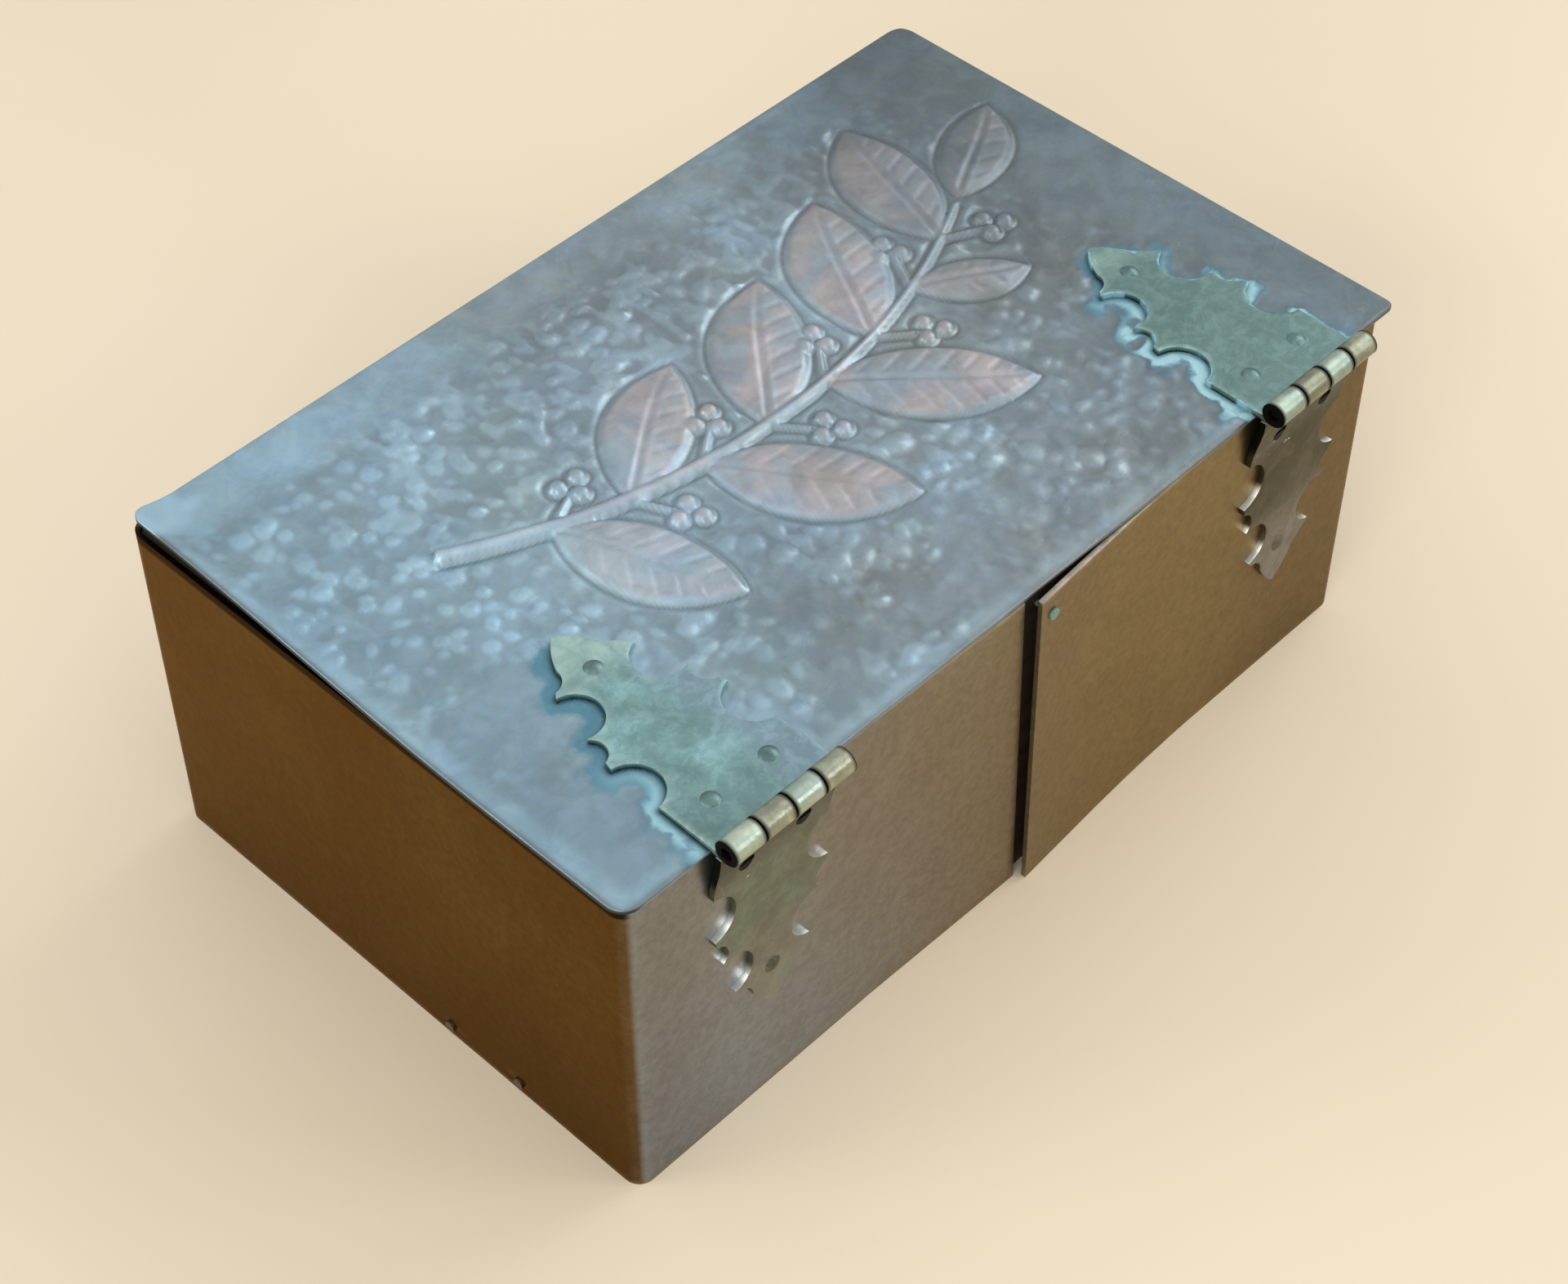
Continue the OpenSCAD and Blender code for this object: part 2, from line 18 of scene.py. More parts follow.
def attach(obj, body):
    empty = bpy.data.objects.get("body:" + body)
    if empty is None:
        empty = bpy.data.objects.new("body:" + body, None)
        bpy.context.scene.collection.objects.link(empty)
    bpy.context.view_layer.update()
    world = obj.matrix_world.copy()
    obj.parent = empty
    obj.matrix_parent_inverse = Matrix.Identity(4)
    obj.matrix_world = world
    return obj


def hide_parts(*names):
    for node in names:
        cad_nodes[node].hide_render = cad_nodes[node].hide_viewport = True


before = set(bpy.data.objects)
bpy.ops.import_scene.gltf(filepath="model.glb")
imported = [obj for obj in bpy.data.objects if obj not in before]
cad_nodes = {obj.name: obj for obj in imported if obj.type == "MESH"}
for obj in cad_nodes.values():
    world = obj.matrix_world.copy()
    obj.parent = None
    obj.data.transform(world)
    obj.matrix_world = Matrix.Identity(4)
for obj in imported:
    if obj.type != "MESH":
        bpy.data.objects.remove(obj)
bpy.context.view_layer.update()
MM = 0.001


# Sizes that the looks share with the solids

BODY_D, BODY_H = 110.0, 68.0
LID_T = 1.0
LID_TOP = BODY_H + LID_T
LID_LEFT, LID_RIGHT = -90.0, 88.0
LID_FRONT, LID_BACK = -55.5, 55.5
LID_CORNERS = {(-1, -1): 3.5, (-1, 1): 1.7, (1, -1): 3.5, (1, 1): 3.5}
HINGE_AXIS_Y, HINGE_AXIS_Z = 59.0, 71.2
HINGE_X = {"right": 59.0, "left": -64.5}
HALF_HINGE = 12.2
LEAF_LEN = 48.5
BARREL_R = 2.2

SPRAY = {
    "arc": 120.05,
    "crest": 1.1,
    "from": 30.0,
    "to": -30.0,
    "first": 21.0,
    "step": 6.5,
    "splay": 48.0,
    "sizes": (0.95, 0.9, 1, 1, 1, 1, 0.6, 0.95),
    "end": 0.75,
    "leaf": 35.2,
    "width": 0.47,
    "rise": 1.3,
    "stem": 0.9,
    "berry": 1.9,
    "reach": 9.9,
    "ring": 2.185,
}


# Arithmetic on whole arrays

# Squares along each side of a table of chance values, which then repeats
LATTICE = 97


def ease(t):
    """Smooth step of t clipped to 0..1: 3t^2 - 2t^3."""
    t = np.clip(t, 0, 1)
    return t * t * (3 - 2 * t)


def between(value, low, high):
    """0 below low, 1 above high, and a smooth step between them."""
    return ease((value - low) / (high - low))


def cloud(x, y, size, seed):
    """Smooth noise in 0..1: random values on a square lattice, eased from point to point."""
    table = np.random.default_rng(seed).random((LATTICE, LATTICE))
    gx, gy = x / size + LATTICE // 2, y / size + LATTICE // 2
    ix, iy = np.floor(gx).astype(int), np.floor(gy).astype(int)
    fx, fy = ease(gx - ix), ease(gy - iy)

    def at(i, j):
        return table[(ix + i) % LATTICE, (iy + j) % LATTICE]

    low = at(0, 0) * (1 - fx) + at(1, 0) * fx
    high = at(0, 1) * (1 - fx) + at(1, 1) * fx
    return low * (1 - fy) + high * fy


def bubbles(x, y, pitch, small, large, seed):
    """Round bosses, one in most squares of a lattice, set off its middle by chance.

    A boss of radius r rises to 0.2 r by (1 - (d / r)^2)^2, and the tallest one counts."""
    table = np.random.default_rng(seed).random((3, LATTICE, LATTICE))
    ix, iy = np.floor(x / pitch).astype(int), np.floor(y / pitch).astype(int)
    tallest = np.zeros_like(x)
    for i in (-1, 0, 1):
        for j in (-1, 0, 1):
            a, b, c = table[:, (ix + i) % LATTICE, (iy + j) % LATTICE]
            off_x = x - (ix + i + a) * pitch
            off_y = y - (iy + j + b) * pitch
            radius = small + (large - small) * c**1.5
            round_top = np.clip(1 - (off_x**2 + off_y**2) / radius**2, 0, 1) ** 2
            tallest = np.maximum(tallest, 0.2 * radius * round_top * (c > 0.15))
    return tallest


# Outline of a hinge leaf, as in the solids: a tapering side bitten by four circles a side,
# then a pointed arch of two circles

SIDE_POINTS = ((1, 0), (0.975, 0.484), (0.84, 0.62), (0.648, 0.808), (0.3, 1.0))
SIDE_BITES = (
    (1.025, 0.382, 0.41),
    (0.992, 0.572, 0.233),
    (0.711, 0.71, 0.377),
    (0.59, 0.885, 0.246),
)
ARCH_V = 0.78


def leaf_half_width(v):
    """Half the leaf's width at the distance v from the hinge axis."""
    shares = np.array(SIDE_POINTS)
    width = HALF_HINGE * np.interp(v / LEAF_LEN, shares[:, 1], shares[:, 0])
    for centre_u, centre_v, radius in SIDE_BITES:
        off = v - centre_v * LEAF_LEN
        r = radius * HALF_HINGE
        bitten = centre_u * HALF_HINGE - np.sqrt(np.clip(r * r - off * off, 0, None))
        width = np.where(np.abs(off) < r, np.minimum(width, bitten), width)
    neck_u = (SIDE_BITES[3][0] - SIDE_BITES[3][2]) * HALF_HINGE
    neck_v, arch_v = SIDE_BITES[3][1] * LEAF_LEN, ARCH_V * LEAF_LEN
    tip = LEAF_LEN - arch_v
    arch_u = (tip**2 - (neck_v - arch_v) ** 2 - neck_u**2) / (2 * neck_u)
    arch_r = math.hypot(arch_u, tip)
    arch = np.sqrt(np.clip(arch_r**2 - (v - arch_v) ** 2, 0, None)) - arch_u
    return np.clip(np.where(v > neck_v, arch, width), 0, None)


def leaf_side_points():
    """Points 0.25 mm apart along one side of the leaf, from its barrel to its tip."""
    v = np.linspace(0, LEAF_LEN, 1200)
    side = np.column_stack((leaf_half_width(v), v))
    run = np.concatenate(([0], np.cumsum(np.linalg.norm(np.diff(side, axis=0), axis=1))))
    even = np.linspace(0, run[-1], int(run[-1] / 0.25))
    return np.column_stack([np.interp(even, run, side[:, k]) for k in (0, 1)])


LEAF_SIDE = leaf_side_points()


def leaf_depth(u, v):
    """Distance from the leaf's outline, above 0 inside it and below 0 outside it."""
    u = np.abs(u)
    gap = np.full(u.shape, 99.0)
    near = (u < HALF_HINGE + 9) & (v < LEAF_LEN + 9) & (v > -9)
    points = np.column_stack((u[near], v[near]))
    closest = np.full(len(points), 99.0)
    for start in range(0, len(LEAF_SIDE), 24):
        part = LEAF_SIDE[start : start + 24]
        off = np.linalg.norm(points[:, None, :] - part[None, :, :], axis=2)
        closest = np.minimum(closest, off.min(axis=1))
    gap[near] = closest
    inside = (u < leaf_half_width(np.clip(v, 0, LEAF_LEN))) & (v > 0) & (v < LEAF_LEN)
    return np.where(inside, gap, -gap)


# Relief of the lid


def stem_point(angle):
    """Place on the stem's arc at an angle in degrees, and the heading of its leafy end."""
    a = math.radians(angle)
    x = SPRAY["arc"] * math.sin(a)
    y = SPRAY["crest"] - SPRAY["arc"] * (1 - math.cos(a))
    return x, y, math.radians(180 - angle)


def spray_places():
    """Every leaf as (x, y, heading, length, sway), and every berry cluster as (x, y, heading)."""
    leaves, clusters = [], []
    for i, size in enumerate(SPRAY["sizes"]):
        x, y, heading = stem_point(SPRAY["first"] - i * SPRAY["step"])
        side = 1 if i % 2 == 0 else -1
        splay = math.radians(SPRAY["splay"])
        leaves.append((x, y, heading - side * splay, SPRAY["leaf"] * size, side))
        clusters.append((x, y, heading + side * splay))
    x, y, heading = stem_point(SPRAY["to"])
    leaves.append((x, y, heading, SPRAY["leaf"] * SPRAY["end"], 1))
    return leaves, clusters


def turned(x, y, place):
    """x and y seen from a place, along its heading and across it."""
    dx, dy = x - place[0], y - place[1]
    c, s = math.cos(place[2]), math.sin(place[2])
    return dx * c + dy * s, dy * c - dx * s


def leaf_rise(x, y, place):
    """Height of an embossed leaf, and the distance inside its edge.

    The edge is two arcs that meet in points. The height falls from the midrib to the edge
    and from the middle to the ends, less a grooved midrib and slanting side veins."""
    u, v = turned(x, y, place)
    length, sway = place[3], place[4]
    half = length / 2
    share = np.clip(u / length, 0, 1)
    v = v + sway * 1.3 * np.sin(math.pi * share) * share
    wide = SPRAY["width"] * half
    radius = (half**2 + wide**2) / (2 * wide)
    reach = np.sqrt(np.clip(radius**2 - (u - half) ** 2, 0, None)) - (radius - wide)
    reach = np.where((u > -1) & (u < length + 1), reach, -9.0)
    inside = reach - np.abs(v)
    across = np.clip(np.abs(v) / np.maximum(reach, 0.01), 0, 1)
    dome = (1 - 0.5 * across**1.6) * (1 - 0.55 * ((u - half) / half) ** 2)
    midrib = np.exp(-((v / 0.55) ** 2)) * (1 - share) ** 0.4
    shoulder = np.exp(-(((np.abs(v) - 1.0) / 0.5) ** 2)) * (1 - share)
    slant = u - 0.85 * np.abs(v) + 0.02 * v**2
    vein = (0.5 + 0.5 * np.cos(2 * math.pi * slant / 4.3)) ** 7
    vein = vein * between(np.abs(v), 0.8, 1.8) * between(inside, 0.6, 1.8)
    rise = SPRAY["rise"] * dome + 0.14 * shoulder - 0.42 * midrib - 0.2 * vein
    return rise * between(inside, 0, 1.3) ** 0.7, inside


def spray_rise(x, y):
    """Height of the embossed spray, and the distance inside its nearest edge."""
    leaves, clusters = spray_places()
    rise = np.zeros_like(x)
    inside = np.full(x.shape, -9.0)
    for place in leaves:
        h, depth = leaf_rise(x, y, place)
        rise = np.maximum(rise, h)
        inside = np.maximum(inside, depth)
    centre_y = SPRAY["crest"] - SPRAY["arc"]
    off = np.hypot(x, y - centre_y) - SPRAY["arc"]
    angle = np.degrees(np.arctan2(x, y - centre_y))
    within = between(angle, SPRAY["to"] - 0.2, SPRAY["to"] + 2)
    within = within * (1 - between(angle, SPRAY["from"] - 0.4, SPRAY["from"] + 0.1))
    thick = SPRAY["stem"] * (0.75 + 0.5 * np.clip(angle / 30, -1, 1) + 0.35)
    stem = np.sqrt(np.clip(thick**2 - off**2, 0, None)) * within
    rise = np.maximum(rise, 1.15 * stem)
    inside = np.maximum(inside, np.where(within > 0.5, thick - np.abs(off), -9))
    for place in clusters:
        u, v = turned(x, y, place)
        stalk = np.where((u > 0) & (u < SPRAY["reach"]), np.abs(v + 0.05 * u), 9)
        rise = np.maximum(rise, 0.6 * np.clip(1 - (stalk / 0.6) ** 2, 0, 1) ** 0.5)
        inside = np.maximum(inside, 0.6 - stalk)
        for turn in (0, 120, 240):
            a = math.radians(turn)
            bu = SPRAY["reach"] + SPRAY["ring"] * math.cos(a)
            bv = SPRAY["ring"] * math.sin(a)
            d = np.hypot(u - bu, v - bv)
            ball = np.sqrt(np.clip(SPRAY["berry"] ** 2 - d**2, 0, None))
            cap = np.clip(ball - 0.4 * SPRAY["berry"] - 0.22 * np.exp(-((d / 0.45) ** 2)), 0, None)
            rise = np.maximum(rise, 1.15 * cap)
            inside = np.maximum(inside, 0.92 * SPRAY["berry"] - d)
    return rise, inside


def lid_relief(x, y):
    """Height of the lid's face above its plane, and the masks that colour it.

    The spray stands on a hammered ground, with a chased groove round it. The ground is
    strongest in the front middle, in beads towards the right end and in round bosses behind
    the spray. It is calm beside the right hinge, and dies away on the front border, at the
    left end and at the rims. Nothing rises under the hinge leaves. Verdigris creeps out from
    their outlines, with a deeper band along the right leaf's right side."""
    rise, inside = spray_rise(x, y)
    near_hinge = np.full(x.shape, -99.0)
    for hinge_x in HINGE_X.values():
        near_hinge = np.maximum(near_hinge, leaf_depth(x - hinge_x, HINGE_AXIS_Y - y))
    clear = between(-near_hinge, 0.5, 2.4)

    border = between(y, -48, -41) * between(-y, -54.5, -51.5) * between(-x, -86, -83)
    worked = border * between(x, -84, -58) * clear
    stir = 2.6 * (cloud(x, y, 5.5, 61) - 0.5), 2.6 * (cloud(x, y, 5.5, 67) - 0.5)
    beads = bubbles(x + stir[0], y + stir[1], 3.9, 1.4, 2.7, 11)
    pitted = 0.4 * between(cloud(x + stir[1], 0.62 * y + stir[0], 1.8, 19), 0.32, 0.95)
    round_bosses = bubbles(x + 0.5 * stir[1], y + 0.5 * stir[0], 6.2, 1.8, 3.6, 23)
    behind = between(y, 4, 16) * between(x, -38, -24) * (1 - between(x, 26, 38))
    middle = between(-y, -6, 10) * between(x, -72, -48) * (1 - between(x, 36, 58))
    patches = between(cloud(x, y, 9, 5), 0.38, 0.62)
    beads = beads * (0.18 + 0.35 * patches + 0.3 * between(x, 34, 56) + 0.25 * middle)
    pitted = pitted * (0.2 + 0.15 * patches + middle * (0.4 + 0.45 * patches))
    calm = 1 - 0.75 * between(x, 58, 70) * between(y, -4, 14)
    ground = np.maximum((beads + pitted) * calm, round_bosses * behind * patches)
    outside = between(-inside, 0.9, 2.2)
    groove = np.exp(-(((inside + 0.55) / 0.5) ** 2)) * clear
    swell = 0.5 * (cloud(x, y, 26, 3) - 0.5) + 0.24 * (cloud(x, y, 12, 9) - 0.5)
    swell = swell + 0.16 * (cloud(x, y, 5, 13) - 0.5) * worked
    swell = swell + 0.06 * (cloud(x, y, 2.3, 17) - 0.5) * worked
    height = rise * clear + ground * worked * outside - 0.2 * groove + swell * clear * 0.8

    ragged = cloud(x, y, 3.1, 31) + 0.6 * cloud(x, y, 1.3, 37)
    left_hinge = 1 - between(x, -30, -20)
    across = x - np.where(x < -25, HINGE_X["left"], HINGE_X["right"])
    beside = between(across, -2, 4)
    reach = 0.9 + 1.6 * left_hinge + beside * (2.7 - 1.2 * left_hinge)
    crust = between(near_hinge + reach * (0.1 + ragged), -0.9, 2.6)
    crust = crust * (1 - between(near_hinge, 0.1, 0.5))
    crust = crust * between(y, 7, 14) * (0.3 + 0.7 * np.maximum(beside, left_hinge))
    core = np.exp(-(((near_hinge + 0.5 + (0.6 + 0.5 * ragged) * beside) / 0.9) ** 2))
    corner = np.hypot(x - 85.5, (y + 53.5) * 1.5) + 3.5 * (cloud(x, y, 3, 41) - 0.5)
    patch = 1 - between(corner, 6, 11)
    deep = np.exp(-(((near_hinge + 1.3) / 1.5) ** 2)) * beside * (1 - left_hinge)
    deep = deep * between(y, 8, 15) * (1 - between(y, 38, 47))
    left_chalk = left_hinge * between(y, 14, 32) * (0.25 + core)
    right_chalk = between(y, 30, 48) * (0.25 + 0.6 * core)
    bare = 1 - between(ground, 0.03, 0.2)
    shade = np.exp(-((near_hinge / 0.45) ** 2)) * (0.2 + 0.8 * beside)
    height = height + 0.16 * crust * (0.5 + cloud(x, y, 0.9, 43)) * between(-near_hinge, 0.05, 0.3)
    return height, {
        "raised": np.clip(between(inside, -0.2, 1.2) * clear, 0, 1),
        "hollow": np.clip(groove + 0.6 * bare * worked * outside, 0, 1),
        "verdigris": np.clip(crust + 0.95 * deep * (0.4 + ragged), 0, 1),
        "chalk": np.clip(left_chalk + right_chalk, 0, 1),
        "faded": patch * (0.7 + 0.3 * cloud(x, y, 2.4, 79)),
        "shade": shade * (1 - 0.6 * left_hinge),
    }


def corner_lift(x, y):
    """Rise of the lid sheet's free corner at the right front, where it has been bent up."""
    return 2.0 * np.clip((x - 78) / 9, 0, 1.1) ** 1.5 * between(-y, -22, 60)


# Meshes

# Rings of the lid's underside from its rim inwards: inset, drop below the top, and painted
# shade at the right end
UNDERSIDE = ((0, 0.82, 1.15), (0.18, 1.0, 1.15), (2.5, 1.0, 0.5), (5, 1.0, 0), (8, 1.0, 0))


def placed(name, data):
    """A new object in the scene."""
    made = bpy.data.objects.new(name, data)
    bpy.context.scene.collection.objects.link(made)
    return made


def add_mask(piece, name, values):
    """Gives a piece a float attribute, one value for each vertex."""
    attribute = piece.data.attributes.new(name, "FLOAT", "POINT")
    attribute.data.foreach_set("value", np.asarray(values, np.float32).ravel())


def make_mesh(name, points, faces, masks=None):
    """A smooth mesh object from points in millimetres, with a float attribute for each mask."""
    mesh = bpy.data.meshes.new(name)
    mesh.from_pydata((np.asarray(points) * MM).tolist(), [], faces)
    mesh.update()
    mesh.polygons.foreach_set("use_smooth", np.ones(len(mesh.polygons), bool))
    piece = placed(name, mesh)
    for mask, values in (masks or {}).items():
        add_mask(piece, mask, values)
    return piece


def stations(low, high, pitch):
    """Coordinates from low to high: close together at the rims, then about a pitch apart."""
    rim = np.array([0, 0.1, 0.25, 0.45])
    inner = np.linspace(low + 0.8, high - 0.8, int((high - low) / pitch))
    return np.concatenate((low + rim, inner, high - rim[::-1]))


def lid_plan(x, y):
    """Rectangle to the lid's own outline: its corners become quarter circles, and the bent
    corner draws its end in."""
    x, y = x.copy(), y.copy()
    for (sx, sy), radius in LID_CORNERS.items():
        cx = (LID_RIGHT if sx > 0 else LID_LEFT) - sx * radius
        cy = (LID_BACK if sy > 0 else LID_FRONT) - sy * radius
        u, v = sx * (x - cx) / radius, sy * (y - cy) / radius
        corner = (u > 0) & (v > 0)
        x = np.where(corner, cx + sx * radius * u * np.sqrt(1 - np.clip(v, 0, 1) ** 2 / 2), x)
        y = np.where(corner, cy + sy * radius * v * np.sqrt(1 - np.clip(u, 0, 1) ** 2 / 2), y)
    drawn = 1.1 * between(x, 74, LID_RIGHT) * between(-y, -30, 50)
    return x - drawn, y


def lid_sheet():
    """The lid: a grid over its plan carries the relief, and its rim turns down to an underside
    that follows the bent corner. The rim is browned at the back and the right end, and the
    right end's underside is black with painted shade."""
    xs, ys = stations(LID_LEFT, LID_RIGHT, 0.5), stations(LID_FRONT, LID_BACK, 0.5)
    gx, gy = np.meshgrid(xs, ys, indexing="ij")
    rim = np.minimum.reduce([gx - LID_LEFT, LID_RIGHT - gx, gy - LID_FRONT, LID_BACK - gy])
    x, y = lid_plan(gx, gy)
    height, masks = lid_relief(x, y)
    worn_rim = 1 - between(np.minimum(LID_RIGHT - gx, LID_BACK - gy), 0.2, 1.1)
    masks["hollow"] = np.maximum(masks["hollow"], 1.2 * worn_rim)
    roll = 0.32 * np.clip(1 - rim / 0.45, 0, 1) ** 2
    z = LID_TOP + height * between(rim, 0.3, 2.5) - roll + corner_lift(x, y)
    top = np.column_stack((x.ravel(), y.ravel(), z.ravel()))
    nx, ny = gx.shape
    index = np.arange(nx * ny).reshape(nx, ny)
    quads = np.stack((index[:-1, :-1], index[1:, :-1], index[1:, 1:], index[:-1, 1:]), -1)

    loop = np.concatenate((index[:-1, 0], index[-1, :-1], index[:0:-1, -1], index[0, :0:-1]))
    around = top[loop]
    levels, count = [], len(loop)
    mid_x = (LID_LEFT + LID_RIGHT) / 2
    for inset, drop, _ in UNDERSIDE:
        px = mid_x + (around[:, 0] - mid_x) * (1 - inset / (LID_RIGHT - mid_x))
        py = around[:, 1] * (1 - inset / LID_BACK)
        levels.append(np.column_stack((px, py, LID_TOP - drop + corner_lift(px, py))))
    points = np.concatenate([top] + levels)
    faces = [tuple(q) for q in quads.reshape(-1, 4).tolist()]
    ring = loop
    for k in range(len(levels)):
        below = len(top) + k * count + np.arange(count)
        band = np.stack((ring, below, np.roll(below, -1), np.roll(ring, -1)), -1)
        faces += [tuple(q) for q in band.tolist()]
        ring = below
    faces.append(tuple(ring[::-1].tolist()))
    none_below = np.zeros(count * len(levels))
    full = {name: np.concatenate((m.ravel(), none_below)) for name, m in masks.items()}
    # Painted shade: the underside and the rim at the right end are blackened where the gap under
    # the lid lies in shadow.
    right_end = between(around[:, 0], 83, 86)
    full["shade"][len(top) :] = np.outer([dark for _, _, dark in UNDERSIDE], right_end).ravel()
    full["shade"][loop] = right_end
    return make_mesh("lid_sheet_embossed", points, faces, full)


def softened_copy(name, node, bevel, pitch=0.0, crease=32):
    """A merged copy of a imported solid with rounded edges, its long edges cut to a pitch."""
    mesh = cad_nodes[node].data.copy()
    mesh.name = name
    work = bmesh.new()
    work.from_mesh(mesh)
    bmesh.ops.remove_doubles(work, verts=work.verts, dist=2e-6)
    bmesh.ops.dissolve_limit(
        work, angle_limit=math.radians(0.6), verts=work.verts, edges=work.edges
    )
    sharp = [
        e
        for e in work.edges
        if len(e.link_faces) == 2 and e.calc_face_angle(0) > math.radians(crease)
    ]
    if bevel:
        bmesh.ops.bevel(
            work,
            geom=sharp,
            offset=bevel * MM,
            offset_type="OFFSET",
            segments=2,
            profile=0.5,
            affect="EDGES",
            clamp_overlap=True,
        )
    if pitch:
        for _ in range(6):
            bmesh.ops.triangulate(work, faces=work.faces)
            long_edges = [e for e in work.edges if e.calc_length() > pitch * MM]
            if not long_edges:
                break
            bmesh.ops.subdivide_edges(work, edges=long_edges, cuts=1)
        bmesh.ops.triangulate(work, faces=work.faces)
    work.to_mesh(mesh)
    work.free()
    mesh.polygons.foreach_set("use_smooth", np.ones(len(mesh.polygons), bool))
    mesh.set_sharp_from_angle(angle=math.radians(50))
    return placed(name, mesh)


def vertices_of(piece):
    """The piece's vertices in millimetres, as an array of rows."""
    flat = np.empty(len(piece.data.vertices) * 3)
    piece.data.vertices.foreach_get("co", flat)
    return flat.reshape(-1, 3) / MM


# Shader helpers


def feed(tree, socket, value):
    """Links a socket to an input, or sets the input to a constant."""
    if isinstance(value, bpy.types.NodeSocket):
        tree.links.new(value, socket)
    else:
        socket.default_value = value


def put(tree, kind, at=None, **settings):
    """Adds a node: its inputs come from a table, and its properties from the named settings."""
    made = tree.nodes.new(kind)
    for key, value in settings.items():
        setattr(made, key, value)
    for key, value in (at or {}).items():
        feed(tree, made.inputs[key], value)
    return made


def colour(r, g, b):
    return (r, g, b, 1.0)


def blend_colours(tree, share, first, second, kind="MIX"):
    """Output colour of a mix from first to second by share. The node's sockets for colours
    are 6 and 7."""
    mix = put(tree, "ShaderNodeMix", data_type="RGBA", blend_type=kind)
    for k, value in ((0, share), (6, first), (7, second)):
        feed(tree, mix.inputs[k], value)
    return mix.outputs[2]


def maths(tree, operation, a, b=None, clamp=False):
    sockets = {0: a} if b is None else {0: a, 1: b}
    return put(tree, "ShaderNodeMath", sockets, operation=operation, use_clamp=clamp).outputs[0]


def times(tree, *factors):
    """Product of two or more sockets and numbers, from the left."""
    product = factors[0]
    for factor in factors[1:]:
        product = maths(tree, "MULTIPLY", product, factor)
    return product


def plus(tree, *terms):
    """Sum of two or more sockets and numbers, from the left."""
    total = terms[0]
    for term in terms[1:]:
        total = maths(tree, "ADD", total, term)
    return total


def scaled(tree, tone, factor):
    """A colour with its channels times a factor."""
    sockets = {0: tone, "Scale": factor}
    return put(tree, "ShaderNodeVectorMath", sockets, operation="SCALE").outputs[0]


def ramp(tree, value, low, high, to_low=0.0, to_high=1.0):
    """A smooth step of value from low to high."""
    made = put(
        tree,
        "ShaderNodeMapRange",
        {"Value": value, "From Min": low, "From Max": high, "To Min": to_low, "To Max": to_high},
        interpolation_type="SMOOTHSTEP",
        clamp=True,
    )
    return made.outputs[0]


def noise(tree, vector, scale, detail=3.0, rough=0.55, warp=0.0):
    made = put(
        tree,
        "ShaderNodeTexNoise",
        {
            "Vector": vector,
            "Scale": scale,
            "Detail": detail,
            "Roughness": rough,
            "Distortion": warp,
        },
    )
    return made.outputs["Fac"]


def group(name, inputs, outputs):
    """A new shader node group with named sockets, and its input and output nodes."""
    tree = bpy.data.node_groups.new(name, "ShaderNodeTree")
    for label, kind, value in inputs:
        socket = tree.interface.new_socket(label, in_out="INPUT", socket_type=kind)
        if value is not None:
            socket.default_value = value
    for label, kind in outputs:
        tree.interface.new_socket(label, in_out="OUTPUT", socket_type=kind)
    return tree, tree.nodes.new("NodeGroupInput"), tree.nodes.new("NodeGroupOutput")


VECTOR, FLOAT, COLOUR = "NodeSocketVector", "NodeSocketFloat", "NodeSocketColor"


def tarnish_group():
    """Metal gone cloudy: broad clouds turn a deep tone to a middle one, small flecks add a
    pale one, and fine grain gives a height."""
    tree, given, result = group(
        "Tarnish",
        [
            ("Vector", VECTOR, None),
            ("Cloud Scale", FLOAT, 60.0),
            ("Fleck Scale", FLOAT, 420.0),
            ("Fleck Amount", FLOAT, 0.35),
            ("Deep", COLOUR, None),
            ("Middle", COLOUR, None),
            ("Pale", COLOUR, None),
        ],
        [("Color", COLOUR), ("Cloud", FLOAT), ("Fleck", FLOAT), ("Grain", FLOAT)],
    )
    vector = given.outputs["Vector"]
    clouds = ramp(
        tree, noise(tree, vector, given.outputs["Cloud Scale"], 5.0, 0.6, 0.6), 0.32, 0.68
    )
    flecks = ramp(tree, noise(tree, vector, given.outputs["Fleck Scale"], 3.0, 0.6), 0.5, 0.78)
    grain = noise(tree, vector, 2600.0, 2.0, 0.6)
    base = blend_colours(tree, clouds, given.outputs["Deep"], given.outputs["Middle"])
    share = times(tree, flecks, given.outputs["Fleck Amount"])
    full = blend_colours(tree, share, base, given.outputs["Pale"])
    for label, socket in (("Color", full), ("Cloud", clouds), ("Fleck", flecks), ("Grain", grain)):
        tree.links.new(socket, result.inputs[label])
    return tree


def verdigris_group():
    """Crust of verdigris: an amount is broken up by noise, and the crust goes from a deep
    blue-green at its edge to a pale chalky blue where it is thick."""
    tree, given, result = group(
        "Verdigris",
        [
            ("Vector", VECTOR, None),
            ("Amount", FLOAT, 0.0),
            ("Chalk", FLOAT, 0.5),
            ("Base", COLOUR, None),
        ],
        [("Color", COLOUR), ("Mask", FLOAT), ("Height", FLOAT)],
    )
    vector, amount = given.outputs["Vector"], given.outputs["Amount"]
    coarse = noise(tree, vector, 520.0, 4.0, 0.65, 0.4)
    uneven = times(tree, maths(tree, "SUBTRACT", coarse, 0.5), 1.1)
    spread = plus(tree, amount, uneven)
    mask = times(tree, ramp(tree, spread, 0.0, 1.0), ramp(tree, amount, 0.0, 0.3, 0.0, 0.9))
    chalk = times(tree, ramp(tree, spread, 0.45, 0.95), given.outputs["Chalk"])
    crust = blend_colours(tree, chalk, colour(0.045, 0.165, 0.225), colour(0.33, 0.56, 0.60))
    tree.links.new(blend_colours(tree, mask, given.outputs["Base"], crust), result.inputs["Color"])
    tree.links.new(mask, result.inputs["Mask"])
    tree.links.new(times(tree, mask, coarse), result.inputs["Height"])
    return tree


